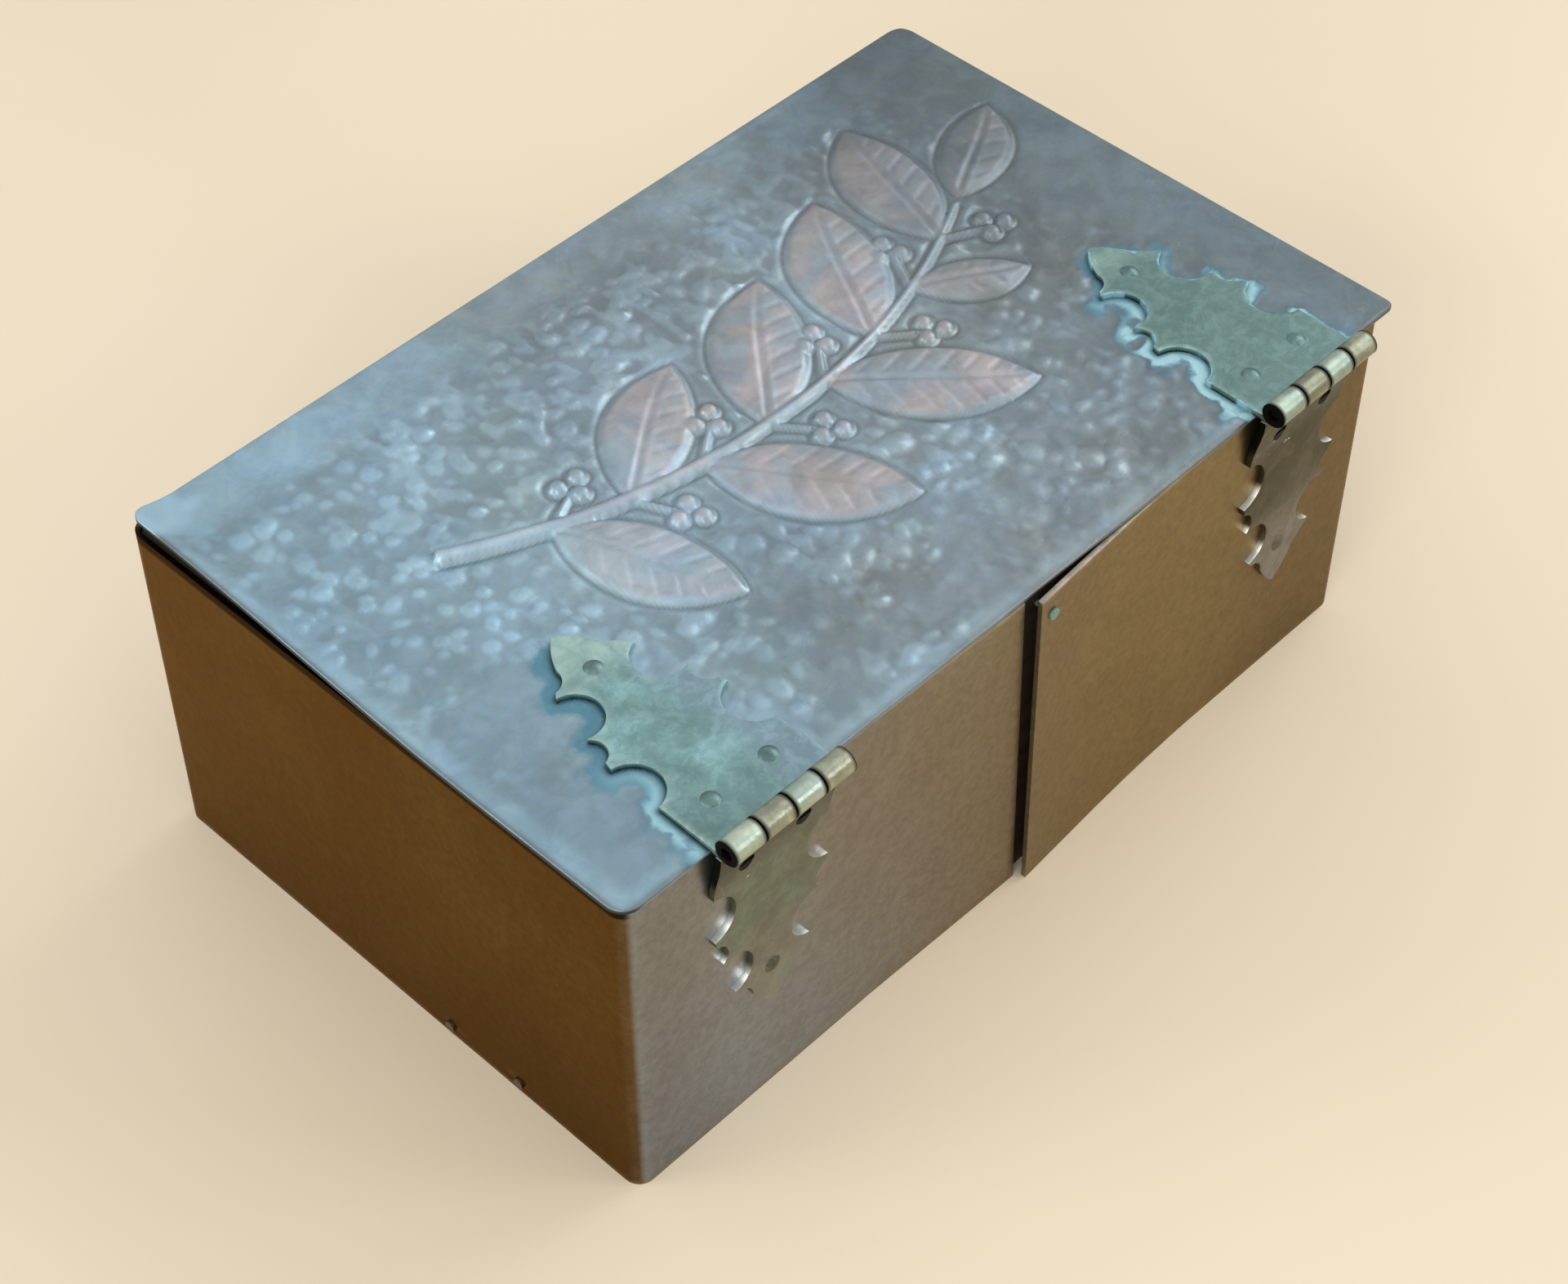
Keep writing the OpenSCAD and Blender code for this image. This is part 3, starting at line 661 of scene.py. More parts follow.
def cedar_group():
    """Planed cedar: stretched noise bends the growth rings, which are waves across the grain.
    Finer stretched noise gives fibres, and short dark streaks stand for pores."""
    tree, given, result = group(
        "Cedar Grain",
        [("Vector", VECTOR, None), ("Early", COLOUR, None), ("Late", COLOUR, None)],
        [("Color", COLOUR), ("Height", FLOAT)],
    )
    vector = given.outputs["Vector"]
    long_grain, fine_grain = (
        put(tree, "ShaderNodeMapping", {"Vector": vector, "Scale": (share, 1.0, 1.0)}).outputs[0]
        for share in (0.12, 0.04)
    )
    bend = noise(tree, long_grain, 55.0, 3.0, 0.5)
    wave = put(
        tree,
        "ShaderNodeTexWave",
        {
            "Vector": long_grain,
            "Scale": 110.0,
            "Distortion": 5.0,
            "Detail": 3.0,
            "Detail Scale": 1.6,
        },
        wave_type="BANDS",
        bands_direction="DIAGONAL",
    ).outputs["Fac"]
    pores = ramp(tree, noise(tree, long_grain, 2400.0, 2.0, 0.6), 0.56, 0.72)
    fibres = noise(tree, fine_grain, 900.0)
    rings = times(tree, ramp(tree, wave, 0.1, 1.0), ramp(tree, bend, 0.25, 0.7, 0.3, 0.8))
    rings = maths(tree, "ADD", rings, ramp(tree, fibres, 0.35, 0.65, -0.12, 0.2), True)
    tone = blend_colours(tree, rings, given.outputs["Early"], given.outputs["Late"])
    dark = blend_colours(tree, times(tree, pores, 0.45), tone, colour(0.06, 0.025, 0.012))
    tree.links.new(dark, result.inputs["Color"])
    tree.links.new(maths(tree, "SUBTRACT", rings, pores), result.inputs["Height"])
    return tree


TARNISH, VERDIGRIS, CEDAR = tarnish_group(), verdigris_group(), cedar_group()


def surface(name):
    """A new material: its tree, its shader and its object coordinates."""
    material = bpy.data.materials.new(name)
    material.use_nodes = True
    tree = material.node_tree
    tree.nodes.clear()
    shader = tree.nodes.new("ShaderNodeBsdfPrincipled")
    out = tree.nodes.new("ShaderNodeOutputMaterial")
    tree.links.new(shader.outputs[0], out.inputs[0])
    return material, tree, shader, tree.nodes.new("ShaderNodeTexCoord").outputs["Object"]


def use(tree, kind, **values):
    """A group placed in a material, its inputs named with underscores for spaces."""
    made = tree.nodes.new("ShaderNodeGroup")
    made.node_tree = kind
    set_inputs(tree, made, **values)
    return made


def mask_of(tree, name):
    """A mask that the mesh carries."""
    return put(tree, "ShaderNodeAttribute", attribute_name=name).outputs["Fac"]


def set_inputs(tree, node, **values):
    for key, value in values.items():
        feed(tree, node.inputs[key.replace("_", " ")], value)


def bumped(tree, height, distance, strength=1.0, under=None):
    """Normal bumped by a height times a distance in millimetres, over another normal if given."""
    inputs = {"Height": height, "Distance": distance * MM, "Strength": strength}
    if under is not None:
        inputs["Normal"] = under
    return put(tree, "ShaderNodeBump", inputs).outputs["Normal"]


def axis_of(tree, vector, axis):
    return put(tree, "ShaderNodeSeparateXYZ", {"Vector": vector}).outputs[axis]


# Materials


def lid_copper():
    """Embossed copper under blue-grey patina, rubbed to a pinkish brown on the raised work and
    brown in the hollows. It is darker towards the left end and bluer towards the right, pale
    at the bent corner and crusted with verdigris by the hinges. Broad zones of painted
    reflection lighten and darken it, and painted shade darkens it along the hinge leaves and
    under the right end's rim."""
    material, tree, shader, place = surface("lid_copper_patina")
    slate = use(
        tree,
        TARNISH,
        Vector=place,
        Cloud_Scale=42.0,
        Fleck_Scale=330.0,
        Fleck_Amount=0.3,
        Deep=colour(0.215, 0.28, 0.305),
        Middle=colour(0.265, 0.355, 0.405),
        Pale=colour(0.35, 0.46, 0.52),
    )
    rubbed = use(
        tree,
        TARNISH,
        Vector=place,
        Cloud_Scale=75.0,
        Fleck_Scale=500.0,
        Fleck_Amount=0.25,
        Deep=colour(0.26, 0.25, 0.25),
        Middle=colour(0.355, 0.31, 0.30),
        Pale=colour(0.41, 0.40, 0.40),
    )
    drift = ramp(tree, noise(tree, place, 22.0, 2.0, 0.5, 0.8), 0.42, 0.66)
    olive = blend_colours(
        tree, times(tree, drift, 0.5), slate.outputs["Color"], colour(0.235, 0.265, 0.25)
    )
    raised = times(
        tree, mask_of(tree, "raised"), ramp(tree, rubbed.outputs["Cloud"], 0.0, 0.9, 0.3, 0.8)
    )
    tone = blend_colours(tree, raised, olive, rubbed.outputs["Color"])
    x = axis_of(tree, place, "X")
    y = axis_of(tree, place, "Y")
    tone = blend_colours(
        tree, ramp(tree, x, -0.085, -0.02, 0.62, 0.0), tone, colour(0.125, 0.162, 0.168)
    )
    tone = blend_colours(tree, ramp(tree, x, 0.0, 0.085, 0.0, 0.8), tone, colour(0.31, 0.48, 0.56))
    mottle = noise(tree, place, 150.0, 4.0, 0.65, 0.5)
    # Painted reflection: brightness is raised towards the right and lowered near the right end,
    # towards the back and along the front border, standing in for how the lamps reflect across the
    # lid; the mottle is random variation of the patina.
    mottle_and_painted_light = times(
        tree,
        ramp(tree, x, -0.085, -0.01, 0.9, 1.22),
        ramp(tree, x, 0.05, 0.09, 1.0, 0.82),
        ramp(tree, y, 0.0, 0.045, 1.0, 0.87),
        ramp(tree, y, -0.054, -0.028, 0.93, 1.06),
        ramp(tree, mottle, 0.3, 0.7, 0.88, 1.12),
    )
    tone = scaled(tree, tone, mottle_and_painted_light)
    hues = ramp(tree, noise(tree, place, 95.0, 4.0, 0.7, 0.6), 0.36, 0.64)
    tint = blend_colours(tree, hues, colour(1.035, 0.99, 0.955), colour(1.0, 0.995, 1.04))
    tone = blend_colours(tree, 1.0, tone, tint, "MULTIPLY")
    hollow = times(tree, mask_of(tree, "hollow"), 0.5)
    tone = blend_colours(tree, hollow, tone, colour(0.10, 0.082, 0.065))
    tone = blend_colours(tree, mask_of(tree, "faded"), tone, colour(0.42, 0.60, 0.70))
    crust = use(
        tree,
        VERDIGRIS,
        Vector=place,
        Amount=mask_of(tree, "verdigris"),
        Chalk=mask_of(tree, "chalk"),
        Base=tone,
    )
    shade = times(tree, mask_of(tree, "shade"), 0.85)
    full = blend_colours(tree, shade, crust.outputs["Color"], colour(0.015, 0.03, 0.03))
    grain = times(tree, slate.outputs["Fleck"], 0.5)
    height = plus(tree, grain, crust.outputs["Height"])
    dull = plus(tree, slate.outputs["Cloud"], times(tree, mask_of(tree, "raised"), 0.6))
    set_inputs(
        tree,
        shader,
        Base_Color=full,
        Metallic=ramp(tree, crust.outputs["Mask"], 0.0, 1.0, 0.88, 0.1),
        Roughness=ramp(tree, plus(tree, dull, crust.outputs["Mask"]), 0.0, 1.6, 0.38, 0.58),
        Normal=bumped(tree, height, 0.06),
    )
    return material


def body_copper():
    """Smooth copper sheet, browned all over, worn at the foot and lighter at the corners with
    wear and painted highlight. The ends are redder, darker at the foot and at the top by the
    front in painted shade, with a black top rim of painted shade under the lid. The back is
    greyer by the right hinge, with a top rim lighter with wear and painted highlight. The
    ends' and the back's tones are partly patina and partly painted reflection."""
    material, tree, shader, place = surface("body_copper_patina")
    brown = use(
        tree,
        TARNISH,
        Vector=place,
        Cloud_Scale=24.0,
        Fleck_Scale=240.0,
        Fleck_Amount=0.12,
        Deep=colour(0.103, 0.055, 0.0145),
        Middle=colour(0.140, 0.082, 0.0235),
        Pale=colour(0.182, 0.112, 0.042),
    )
    split = put(tree, "ShaderNodeSeparateXYZ", {"Vector": place})
    x, y, z = (split.outputs[k] for k in "XYZ")
    # Partly painted reflection: the back takes a grey tone, bluer low down, greyer towards the
    # right hinge, olive towards the left end and darker next to the right end, while the ends stay
    # red-brown; this is patina in part and in part stands for how differently the faces reflect the
    # room.
    back = ramp(tree, y, 0.0541, 0.0549)
    grey = ramp(tree, x, -0.03, 0.085)
    low = blend_colours(
        tree, ramp(tree, z, 0.005, 0.06), colour(0.29, 0.355, 0.43), colour(0.29, 0.32, 0.33)
    )
    back_tone = blend_colours(tree, grey, colour(0.255, 0.215, 0.122), low)
    back_tone = blend_colours(
        tree, ramp(tree, x, -0.04, -0.08), back_tone, colour(0.165, 0.145, 0.09)
    )
    reddish = times(tree, brown.outputs["Cloud"], 0.3)
    back_tone = blend_colours(tree, reddish, back_tone, colour(0.21, 0.135, 0.07))
    back_tone = blend_colours(
        tree, ramp(tree, x, 0.062, 0.085, 0.0, 0.24), back_tone, colour(0.06, 0.055, 0.05)
    )
    # Painted shade: the ends are darkened towards the foot, more strongly towards the back, and at
    # the top by the front under the lid's edge.
    near_end = times(tree, ramp(tree, y, -0.02, 0.05, 0.5, 1.0), ramp(tree, z, 0.05, 0.0))
    far_end = times(tree, ramp(tree, y, -0.01, -0.05), ramp(tree, z, 0.03, 0.06))
    painted_shade_on_ends = maths(tree, "MAXIMUM", times(tree, near_end, 0.48), times(tree, far_end, 0.16))
    end_tone = blend_colours(tree, painted_shade_on_ends, brown.outputs["Color"], colour(0.04, 0.022, 0.007))
    tone = blend_colours(tree, back, end_tone, back_tone)
    far_x = ramp(tree, maths(tree, "ABSOLUTE", x), 0.0846, 0.0868)
    far_y = ramp(tree, maths(tree, "ABSOLUTE", y), 0.0521, 0.0543)
    scuff = ramp(tree, noise(tree, place, 180.0, 4.0, 0.6), 0.4, 0.65)
    # Partly painted highlight: the lighter line down the corners and along the back's top rim
    # stands for the light that these edges catch as well as for wear; the lighter foot is wear.
    corner = times(tree, far_x, far_y, 0.1)
    rim = times(tree, ramp(tree, z, 0.0672, 0.0679), back, 0.9)
    foot = times(tree, ramp(tree, z, 0.0012, 0.0001), 0.3)
    worn = maths(tree, "ADD", plus(tree, corner, rim), foot, True)
    worn = times(tree, worn, ramp(tree, scuff, 0.0, 1.0, 0.6, 1.0))
    full = blend_colours(tree, worn, tone, colour(0.42, 0.37, 0.31))
    # Painted shade: a near-black band along the ends' top rim, where the gap under the lid's edge
    # lies in shadow.
    end = ramp(tree, maths(tree, "ABSOLUTE", x), 0.0855, 0.0868)
    under = times(tree, ramp(tree, z, 0.0660, 0.0667), end, 0.96)
    full = blend_colours(tree, under, full, colour(0.010, 0.008, 0.006))
    specks = ramp(tree, noise(tree, place, 700.0, 4.0, 0.7), 0.35, 0.65, 0.9, 1.1)
    full = scaled(tree, full, specks)
    dents = noise(tree, place, 32.0, 2.0, 0.45)
    normal = bumped(tree, dents, 0.55)
    set_inputs(
        tree,
        shader,
        Base_Color=full,
        Metallic=0.95,
        Specular_Tint=colour(0.8, 0.62, 0.5),
        Roughness=ramp(tree, brown.outputs["Cloud"], 0.0, 1.0, 0.30, 0.42),
        Normal=bumped(tree, brown.outputs["Grain"], 0.02, 0.6, normal),
    )
    return material


def hinge_brass(name, on_lid):
    """Stamped brass gone dull: green on the lid and olive brown on the body, darker where aged
    and slaty like the metal round it in places. It is brighter towards the tips and cream and
    dented on the rolled barrels. The lid leaves' edges carry a painted highlight, and the body
    leaves' upper edges are whitish as a painted glint. The joints are black, painted shade
    blackens the bores, the barrels' ends and the foot of the side walls, and verdigris crusts
    the lid leaves' edges."""
    material, tree, shader, place = surface(name)
    aged_tone = (0.15, 0.235, 0.215) if on_lid else (0.075, 0.062, 0.031)
    slaty_tone = (0.28, 0.39, 0.45) if on_lid else (0.225, 0.21, 0.185)
    dull = use(
        tree,
        TARNISH,
        Vector=place,
        Cloud_Scale=110.0,
        Fleck_Scale=650.0,
        Fleck_Amount=0.3,
        Deep=colour(0.215, 0.36, 0.34) if on_lid else colour(0.145, 0.158, 0.118),
        Middle=colour(0.30, 0.50, 0.495) if on_lid else colour(0.188, 0.222, 0.172),
        Pale=colour(0.38, 0.57, 0.55) if on_lid else colour(0.24, 0.27, 0.215),
    )
    stain = times(tree, dull.outputs["Cloud"], noise(tree, place, 700.0, 3.0, 0.6, 0.5))
    # Paler brass on the barrels and tips, and a painted highlight on the lid leaves' edges.
    pale_and_painted_highlight = times(tree, mask_of(tree, "pale_and_painted_highlight"), ramp(tree, stain, 0.0, 0.6, 0.45, 1.0))
    aged = blend_colours(tree, mask_of(tree, "aged"), dull.outputs["Color"], colour(*aged_tone))
    aged = blend_colours(tree, mask_of(tree, "slaty"), aged, colour(*slaty_tone))
    spots = ramp(tree, noise(tree, place, 330.0, 4.0, 0.7, 0.4), 0.42, 0.62, 0.9, 1.12)
    aged = scaled(tree, aged, spots)
    worn = plus(tree, mask_of(tree, "verdigris"), times(tree, mask_of(tree, "aged"), 0.5))
    rough = ramp(tree, plus(tree, dull.outputs["Cloud"], worn), 0.0, 1.6, 0.28, 0.5)
    rubbed = blend_colours(
        tree, mask_of(tree, "rolled"), colour(0.52, 0.70, 0.60), colour(0.66, 0.69, 0.52)
    )
    tone = blend_colours(tree, pale_and_painted_highlight, aged, rubbed)
    # Painted glint: the body leaves' upward-facing edges are coloured near white, so that they show
    # the lamps white.
    tone = blend_colours(tree, mask_of(tree, "polish_and_painted_glint"), tone, colour(0.94, 1.0, 0.98))
    # Painted shade in the bores, at the barrels' ends and low on the leaves' side walls, with dark
    # joints between the knuckles.
    painted_shade_and_dark_joints = mask_of(tree, "painted_shade_and_dark_joints")
    tone = blend_colours(tree, painted_shade_and_dark_joints, tone, colour(0.005, 0.005, 0.004))
    dents = noise(tree, place, 420.0, 2.0, 0.5)
    dents = times(tree, dents, times(tree, mask_of(tree, "rolled"), 2.5))
    amount = mask_of(tree, "verdigris")
    crust = use(tree, VERDIGRIS, Vector=place, Amount=amount, Chalk=0.8, Base=tone)
    height = plus(tree, dull.outputs["Cloud"], dents, crust.outputs["Height"])
    set_inputs(
        tree,
        shader,
        Base_Color=crust.outputs["Color"],
        Metallic=ramp(tree, crust.outputs["Mask"], 0.0, 1.0, 0.95, 0.15),
        Roughness=plus(tree, rough, times(tree, painted_shade_and_dark_joints, 0.3)),
        Normal=bumped(tree, height, 0.05),
    )
    return material


def small_metal(name, deep, middle, pale, roughness, metallic=0.9, scale=300.0):
    """Finish of a nail, rivet, screw or pin: tarnish at a scale that suits a small head."""
    material, tree, shader, place = surface(name)
    tone = use(
        tree,
        TARNISH,
        Vector=place,
        Cloud_Scale=scale,
        Fleck_Scale=1500.0,
        Fleck_Amount=0.4,
        Deep=colour(*deep),
        Middle=colour(*middle),
        Pale=colour(*pale),
    )
    set_inputs(
        tree,
        shader,
        Base_Color=tone.outputs["Color"],
        Metallic=metallic,
        Roughness=ramp(tree, tone.outputs["Cloud"], 0.0, 1.0, roughness, roughness + 0.15),
        Normal=bumped(tree, tone.outputs["Grain"], 0.03),
    )
    return material


def cedar(name, early, late, turn=(0.0, 0.0, 0.0), rims=False, painted_shade_and_dark_joints=False):
    """Cedar with its grain along X, or turned. On request the boards' top edges are blackened
    with painted shade, and painted shade darkens the face behind the seam."""
    material, tree, shader, place = surface(name)
    turned_place = put(tree, "ShaderNodeMapping", {"Vector": place, "Rotation": turn}).outputs[0]
    wood = use(tree, CEDAR, Vector=turned_place, Early=colour(*early), Late=colour(*late))
    # Painted shade: the boards' top edges are blackened where they lie in shadow under the lid.
    painted_shade_on_top_edges = times(tree, ramp(tree, axis_of(tree, place, "Z"), 0.0670, 0.0675), 0.9 if rims else 0.0)
    tone = blend_colours(tree, painted_shade_on_top_edges, wood.outputs["Color"], colour(0.012, 0.009, 0.007))
    # Painted shade: the back board's outer face is darkened where it lies in shadow behind the open
    # seam.
    if painted_shade_and_dark_joints:
        outside = ramp(tree, axis_of(tree, place, "Y"), 0.0532, 0.0538)
        tone = blend_colours(tree, times(tree, outside, 0.93), tone, colour(0.008, 0.006, 0.005))
    set_inputs(
        tree,
        shader,
        Base_Color=tone,
        Roughness=ramp(tree, wood.outputs["Height"], -0.5, 1.0, 0.7, 0.58),
        Normal=bumped(tree, wood.outputs["Height"], 0.05),
    )
    return material


QUARTER = math.pi / 2
MATERIALS = {
    "lid": lid_copper(),
    "body": body_copper(),
    "lid_hinge": hinge_brass("hinge_brass_green", True),
    "body_hinge": hinge_brass("hinge_brass_brown", False),
    "rivet": small_metal(
        "rivet_brass_dull", (0.10, 0.165, 0.155), (0.17, 0.27, 0.255), (0.29, 0.41, 0.36), 0.35
    ),
    "leaf_nail": small_metal(
        "nail_brass_brown", (0.09, 0.085, 0.06), (0.16, 0.155, 0.11), (0.25, 0.23, 0.17), 0.35
    ),
    # Painted shade: the pins are coloured near black, so that the barrels' open ends look as dark
    # as their shadowed hollows.
    "pin": small_metal(
        "pin_steel_in_painted_shade", (0.003, 0.003, 0.002), (0.006, 0.005, 0.005), (0.015, 0.013, 0.011), 0.6
    ),
    "screw": small_metal(
        "screw_steel_black", (0.004, 0.004, 0.003), (0.01, 0.009, 0.008), (0.04, 0.036, 0.03), 0.5
    ),
    "nail": small_metal(
        "nail_brass_tarnished", (0.10, 0.07, 0.038), (0.19, 0.14, 0.075), (0.30, 0.25, 0.16), 0.35
    ),
    "green_nail": small_metal(
        "nail_verdigris", (0.10, 0.20, 0.17), (0.24, 0.42, 0.36), (0.42, 0.60, 0.52), 0.5, 0.3
    ),
    "wall": cedar("cedar_wall_planed", (0.40, 0.19, 0.085), (0.25, 0.095, 0.04), rims=True),
    "back": cedar(
        "cedar_wall_back", (0.40, 0.19, 0.085), (0.25, 0.095, 0.04), rims=True, painted_shade_and_dark_joints=True
    ),
    "end": cedar(
        "cedar_wall_end", (0.38, 0.18, 0.08), (0.24, 0.09, 0.038), (0, 0, QUARTER), rims=True
    ),
    "base": cedar("cedar_base_planed", (0.43, 0.22, 0.10), (0.28, 0.115, 0.05)),
    "lining": cedar("cedar_lining_planed", (0.42, 0.21, 0.10), (0.28, 0.11, 0.05)),
}


def dress(piece, material):
    piece.data.materials.clear()
    piece.data.materials.append(material)


def finish_node(node, material):
    """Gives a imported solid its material."""
    slots = cad_nodes[node].material_slots
    for slot in slots:
        slot.link = "OBJECT"
        slot.material = material
    if not slots:
        cad_nodes[node].data.materials.append(material)


# Pieces

lid = lid_sheet()
dress(lid, MATERIALS["lid"])
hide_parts("lid_sheet")
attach(lid, "lid")

wrap = softened_copy("body_wrap_softened", "body_wrap", 0.16, 4.0)
dress(wrap, MATERIALS["body"])
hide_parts("body_wrap")
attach(wrap, "body")


def hinge_leaf(side, part, body):
    """A hinge leaf with rounded edges, and the masks that its brass is coloured by."""
    node = f"{side}_hinge_{part}_leaf"
    piece = softened_copy(node + "_softened", node, 0.2 if part == "lid" else 0.36, 1.1)
    points = vertices_of(piece)
    u = points[:, 0] - HINGE_X[side]
    on_lid = part == "lid"
    v = HINGE_AXIS_Y - points[:, 1] if on_lid else HINGE_AXIS_Z - points[:, 2]
    out = points[:, 2] - LID_TOP if on_lid else points[:, 1] - BODY_D / 2
    depth = leaf_depth(u, v)
    radius = np.hypot(points[:, 1] - HINGE_AXIS_Y, points[:, 2] - HINGE_AXIS_Z)
    barrel = 1 - between(radius, BARREL_R, BARREL_R + 0.7)
    ragged = cloud(u + 40 * (side == "left"), v, 2.2, 51)
    edge = between(-depth, -0.9, -0.05) * (1 - barrel)
    face = between(out, 0.75, 1.05)
    tip = between(v, 34, 44) if side == "right" else 0.35 * between(v, 36, 46)
    normals = np.empty(points.size)
    piece.data.vertex_normals.foreach_get("vector", normals)
    normals = normals.reshape(-1, 3)
    lit = between(u, 0, 4)
    rim = sheen = 0
    # Painted highlight: the lid leaves' edges are made paler, most on the right-hand side and along
    # the straight edge by the right hinge's barrel, and also low on the other side's walls.
    if on_lid:
        rim = (0.35 * ragged + 0.5 * lit) * edge * face + 0.5 * (1 - lit) * (1 - face)
        by_barrel = lit * (1 - between(v, 11, 15))
        sheen = by_barrel * edge * between(out, 0.45, 0.7) * (side == "right")
    pale_and_painted_highlight = (0.8 if side == "right" else 0.55) * barrel + (0.9 if on_lid else 0.2) * tip * face
    pale_and_painted_highlight = np.clip(pale_and_painted_highlight + rim + sheen, 0, 1)
    # Painted shade: the side walls are darkened near the surface that the leaf lies on, on the lid
    # leaves mostly on their right-hand side.
    painted_shade_and_dark_joints = (1 - between(out, 0.05, 0.5)) * (1 - barrel)
    painted_shade_and_dark_joints = painted_shade_and_dark_joints * (0.15 + 0.85 * lit if on_lid else 0.3)
    polish_and_painted_glint = np.zeros_like(u)
    if not on_lid:
        # Painted shade on the body leaves' right-facing edges near the barrel, where the leaf
        # stands off the wall.
        right_edge = between(normals[:, 0], 0.5, 0.8) * (1 - between(v, 9, 12))
        painted_shade_and_dark_joints = np.maximum(painted_shade_and_dark_joints, right_edge * (1 - barrel))
        # Painted glint: upward-facing edges of the body leaves get a near-white colour, so that
        # they glint white in the lamps.
        upward = between(normals[:, 2], 0.3, 0.6) * (1 - between(normals[:, 1], 0.7, 0.95))
        polish_and_painted_glint = upward * (1 - barrel)
        painted_shade_and_dark_joints = painted_shade_and_dark_joints * (1 - polish_and_painted_glint)
    aged = np.full(u.shape, 0.95)
    if side == "right":
        aged = (0.65 if on_lid else 0.9) * (1 - between(v, 6, 17))
    knuckle = HALF_HINGE / 2
    from_joint = np.abs(u / knuckle - np.round(u / knuckle)) * knuckle
    joints = barrel * (1 - between(from_joint, 0.15, 0.5))
    # The knuckle joints are dark; the barrels' ends and bores get painted shade.
    ends = barrel * between(np.abs(u), HALF_HINGE - 0.25, HALF_HINGE - 0.02)
    bore = 1 - between(radius, 1.3, 1.6)
    painted_shade_and_dark_joints = np.maximum.reduce([painted_shade_and_dark_joints, joints, ends, bore])
    amount = 0.85 if side == "left" else 0.35
    slaty = 0.85 * between(v, 25, 37)
    if on_lid:
        slaty = 0.75 * (1 - between(u, -8, -1)) * (1 - tip) * (side == "right")
    masks = {
        "pale_and_painted_highlight": pale_and_painted_highlight,
        "painted_shade_and_dark_joints": painted_shade_and_dark_joints,
        "verdigris": edge * between(ragged, 0.35, 0.7) * amount * on_lid,
        "polish_and_painted_glint": polish_and_painted_glint,
        "aged": aged,
        "rolled": barrel,
        "slaty": slaty,
    }
    for name, values in masks.items():
        add_mask(piece, name, values)
    dress(piece, MATERIALS[part + "_hinge"])
    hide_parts(node)
    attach(piece, body)


for side in ("left", "right"):
    hinge_leaf(side, "lid", "lid")
    hinge_leaf(side, "body", "body")
    finish_node(f"{side}_hinge_pin", MATERIALS["pin"])
    finish_node(f"{side}_lid_leaf_rivets", MATERIALS["rivet"])
    finish_node(f"{side}_body_leaf_screws", MATERIALS["screw"])
    finish_node(f"{side}_body_leaf_nail", MATERIALS["leaf_nail"])

for node, finish in (
    ("front_board", "wall"),
    ("back_board", "back"),
    ("left_end_board", "end"),
    ("right_end_board", "end"),
    ("base_board", "base"),
    ("lid_lining", "lining"),
    ("base_nails", "nail"),
    ("seam_nail", "green_nail"),
):
    finish_node(node, MATERIALS[finish])


# Floor, light and camera

# The camera fitted to the photograph, in degrees and millimetres
CAMERA_AZIMUTH, CAMERA_ELEVATION = 133.88, 47.27
CAMERA_TARGET, CAMERA_DISTANCE = (10.48, 11.80, 32.05), 520.3
# Where the lamps face, in metres
LAMP_TARGET = (0, 0, 0.04)


def pale_floor():
    """A wide pale disc under the box, with a soft mottle in its colour."""
    radius, corners, just_below = 4000, 96, -0.05
    turn = np.linspace(0, 2 * math.pi, corners + 1)[:-1]
    rim = radius * np.cos(turn), radius * np.sin(turn), np.full(corners, just_below)
    floor = make_mesh("pale_floor", np.column_stack(rim), [tuple(range(corners))])
    material, tree, shader, place = surface("pale_floor_paper")
    tone = ramp(tree, noise(tree, place, 3.0, 3.0), 0.3, 0.7)
    set_inputs(
        tree,
        shader,
        Base_Color=blend_colours(tree, tone, colour(0.72, 0.60, 0.43), colour(0.77, 0.65, 0.475)),
        Roughness=0.7,
    )
    shader.inputs["Specular IOR Level"].default_value = 0.2
    dress(floor, material)


def bearing(azimuth, elevation):
    """Unit vector from the box at an azimuth and elevation in degrees, as the views count."""
    a, e = math.radians(azimuth), math.radians(elevation)
    return Vector((math.sin(a) * math.cos(e), -math.cos(a) * math.cos(e), math.sin(e)))


def soft_lamp(name, azimuth, elevation, distance, size, power, tint):
    """A rectangular lamp at a bearing and a distance in metres from the box, and facing it."""
    data = bpy.data.lights.new(name, "AREA")
    data.shape = "RECTANGLE"
    data.size, data.size_y = size
    data.energy = power
    data.color = tint
    lamp = placed(name, data)
    away = bearing(azimuth, elevation)
    lamp.location = Vector(LAMP_TARGET) + away * distance
    lamp.rotation_euler = away.to_track_quat("Z", "Y").to_euler()


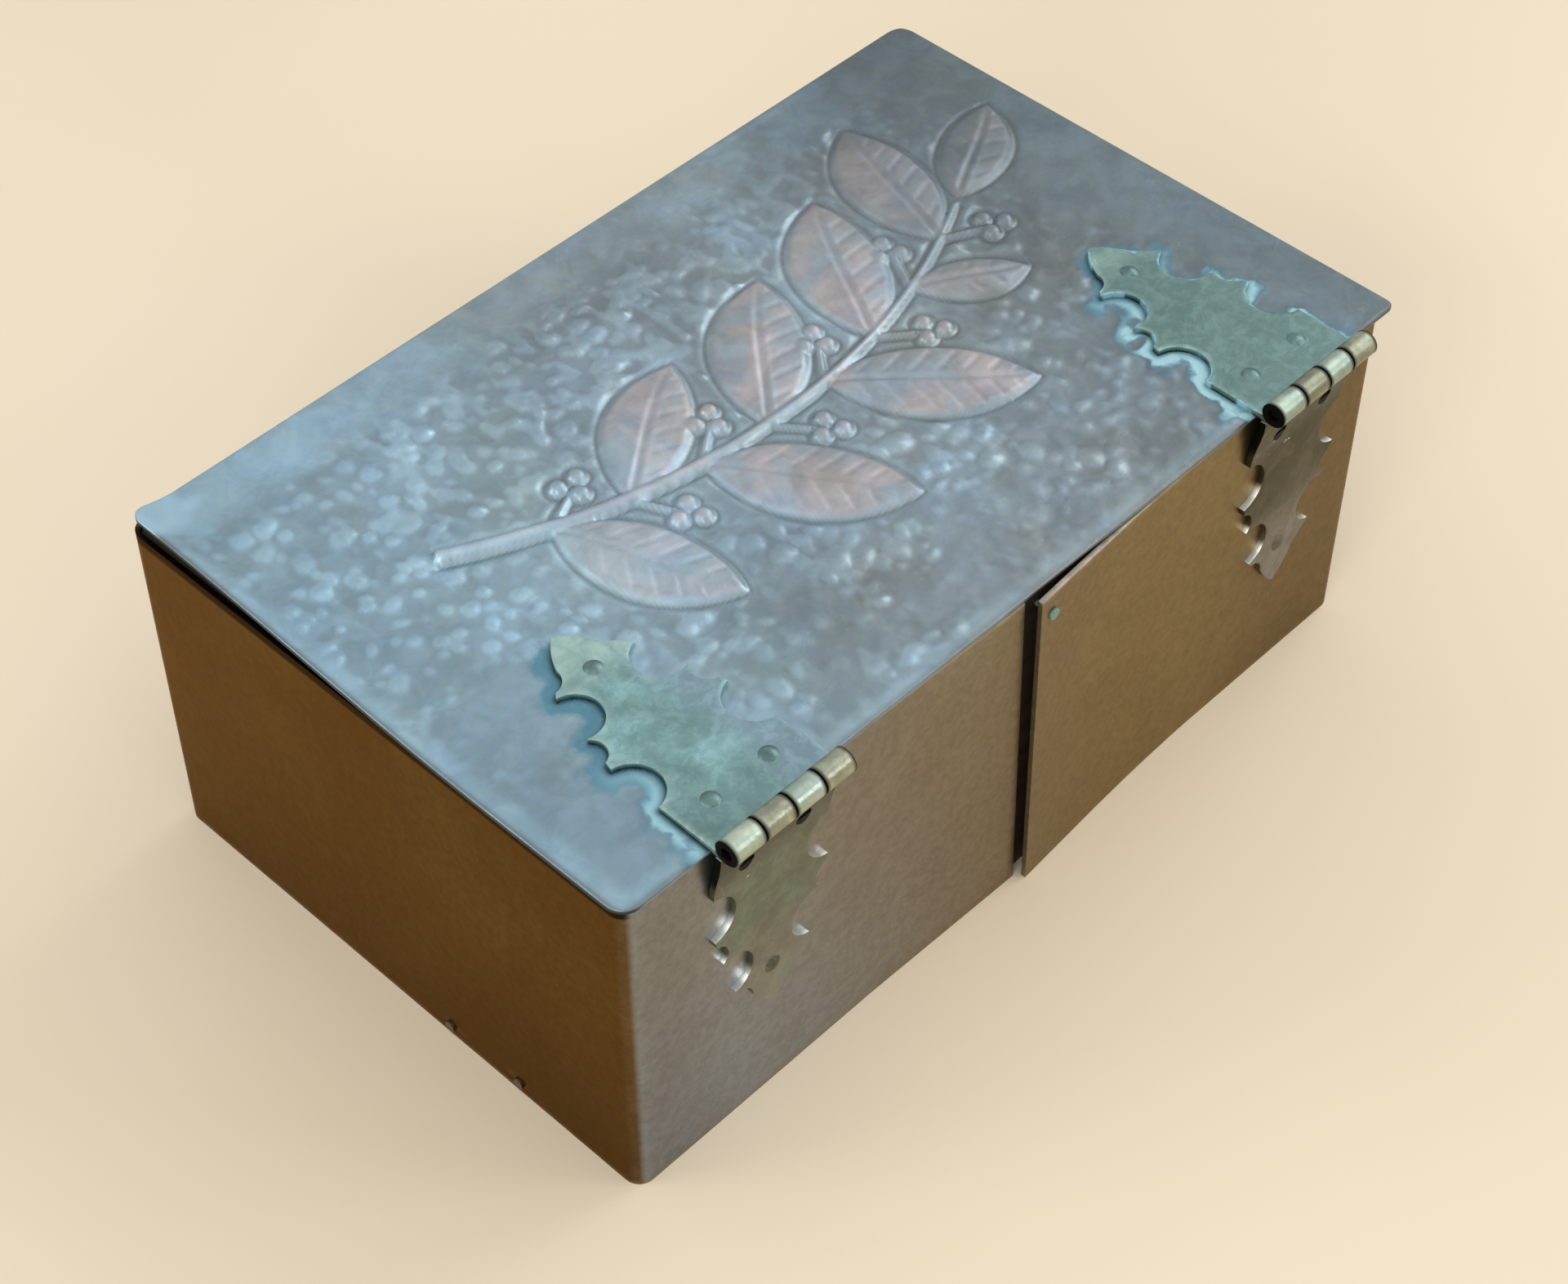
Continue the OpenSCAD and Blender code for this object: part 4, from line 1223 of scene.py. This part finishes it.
def studio_world():
    """Pale surroundings, brightest overhead."""
    world = bpy.data.worlds.new("pale_studio")
    bpy.context.scene.world = world
    world.use_nodes = True
    tree = world.node_tree
    tree.nodes.clear()
    up = axis_of(tree, tree.nodes.new("ShaderNodeTexCoord").outputs["Generated"], "Z")
    tone = blend_colours(
        tree, ramp(tree, up, 0.05, 0.75), colour(0.62, 0.63, 0.65), colour(0.74, 0.76, 0.79)
    )
    light = put(tree, "ShaderNodeBackground", {"Color": tone, "Strength": 1.0})
    seen = put(tree, "ShaderNodeBackground", {"Color": colour(0.86, 0.85, 0.83), "Strength": 1.0})
    camera_ray = tree.nodes.new("ShaderNodeLightPath").outputs["Is Camera Ray"]
    mixed = put(
        tree, "ShaderNodeMixShader", {0: camera_ray, 1: light.outputs[0], 2: seen.outputs[0]}
    )
    out = tree.nodes.new("ShaderNodeOutputWorld")
    tree.links.new(mixed.outputs[0], out.inputs[0])


def photo_camera():
    """The camera where the fit to the photograph puts it."""
    data = bpy.data.cameras.new("camera")
    data.sensor_width = 36.0
    data.lens = 72.45
    data.clip_start, data.clip_end = 0.01, 50.0
    camera = placed("camera", data)
    back = bearing(CAMERA_AZIMUTH, CAMERA_ELEVATION)
    place = Vector(CAMERA_TARGET) * MM + back * (CAMERA_DISTANCE / 1000)
    facing = back.to_track_quat("Z", "Y").to_matrix().to_4x4()
    camera.matrix_world = Matrix.Translation(place) @ facing
    bpy.context.scene.camera = camera


pale_floor()
studio_world()
soft_lamp("window_lamp", 264, 38, 1.1, (0.75, 0.6), 3.8, (0.92, 0.96, 1.0))
soft_lamp("left_lamp", 57, 29, 1.1, (0.4, 0.3), 2.0, (0.96, 0.98, 1.0))
soft_lamp("near_lamp", 116, 29, 0.9, (0.4, 0.4), 2.6, (0.97, 0.99, 1.0))
soft_lamp("back_lamp", 214, 27, 0.8, (0.25, 0.25), 1.0, (1.0, 0.99, 0.97))
soft_lamp("overhead_lamp", 140, 80, 1.2, (0.9, 0.9), 1.0, (1.0, 0.98, 0.96))
photo_camera()

bpy.context.scene.view_settings.view_transform = "Standard"
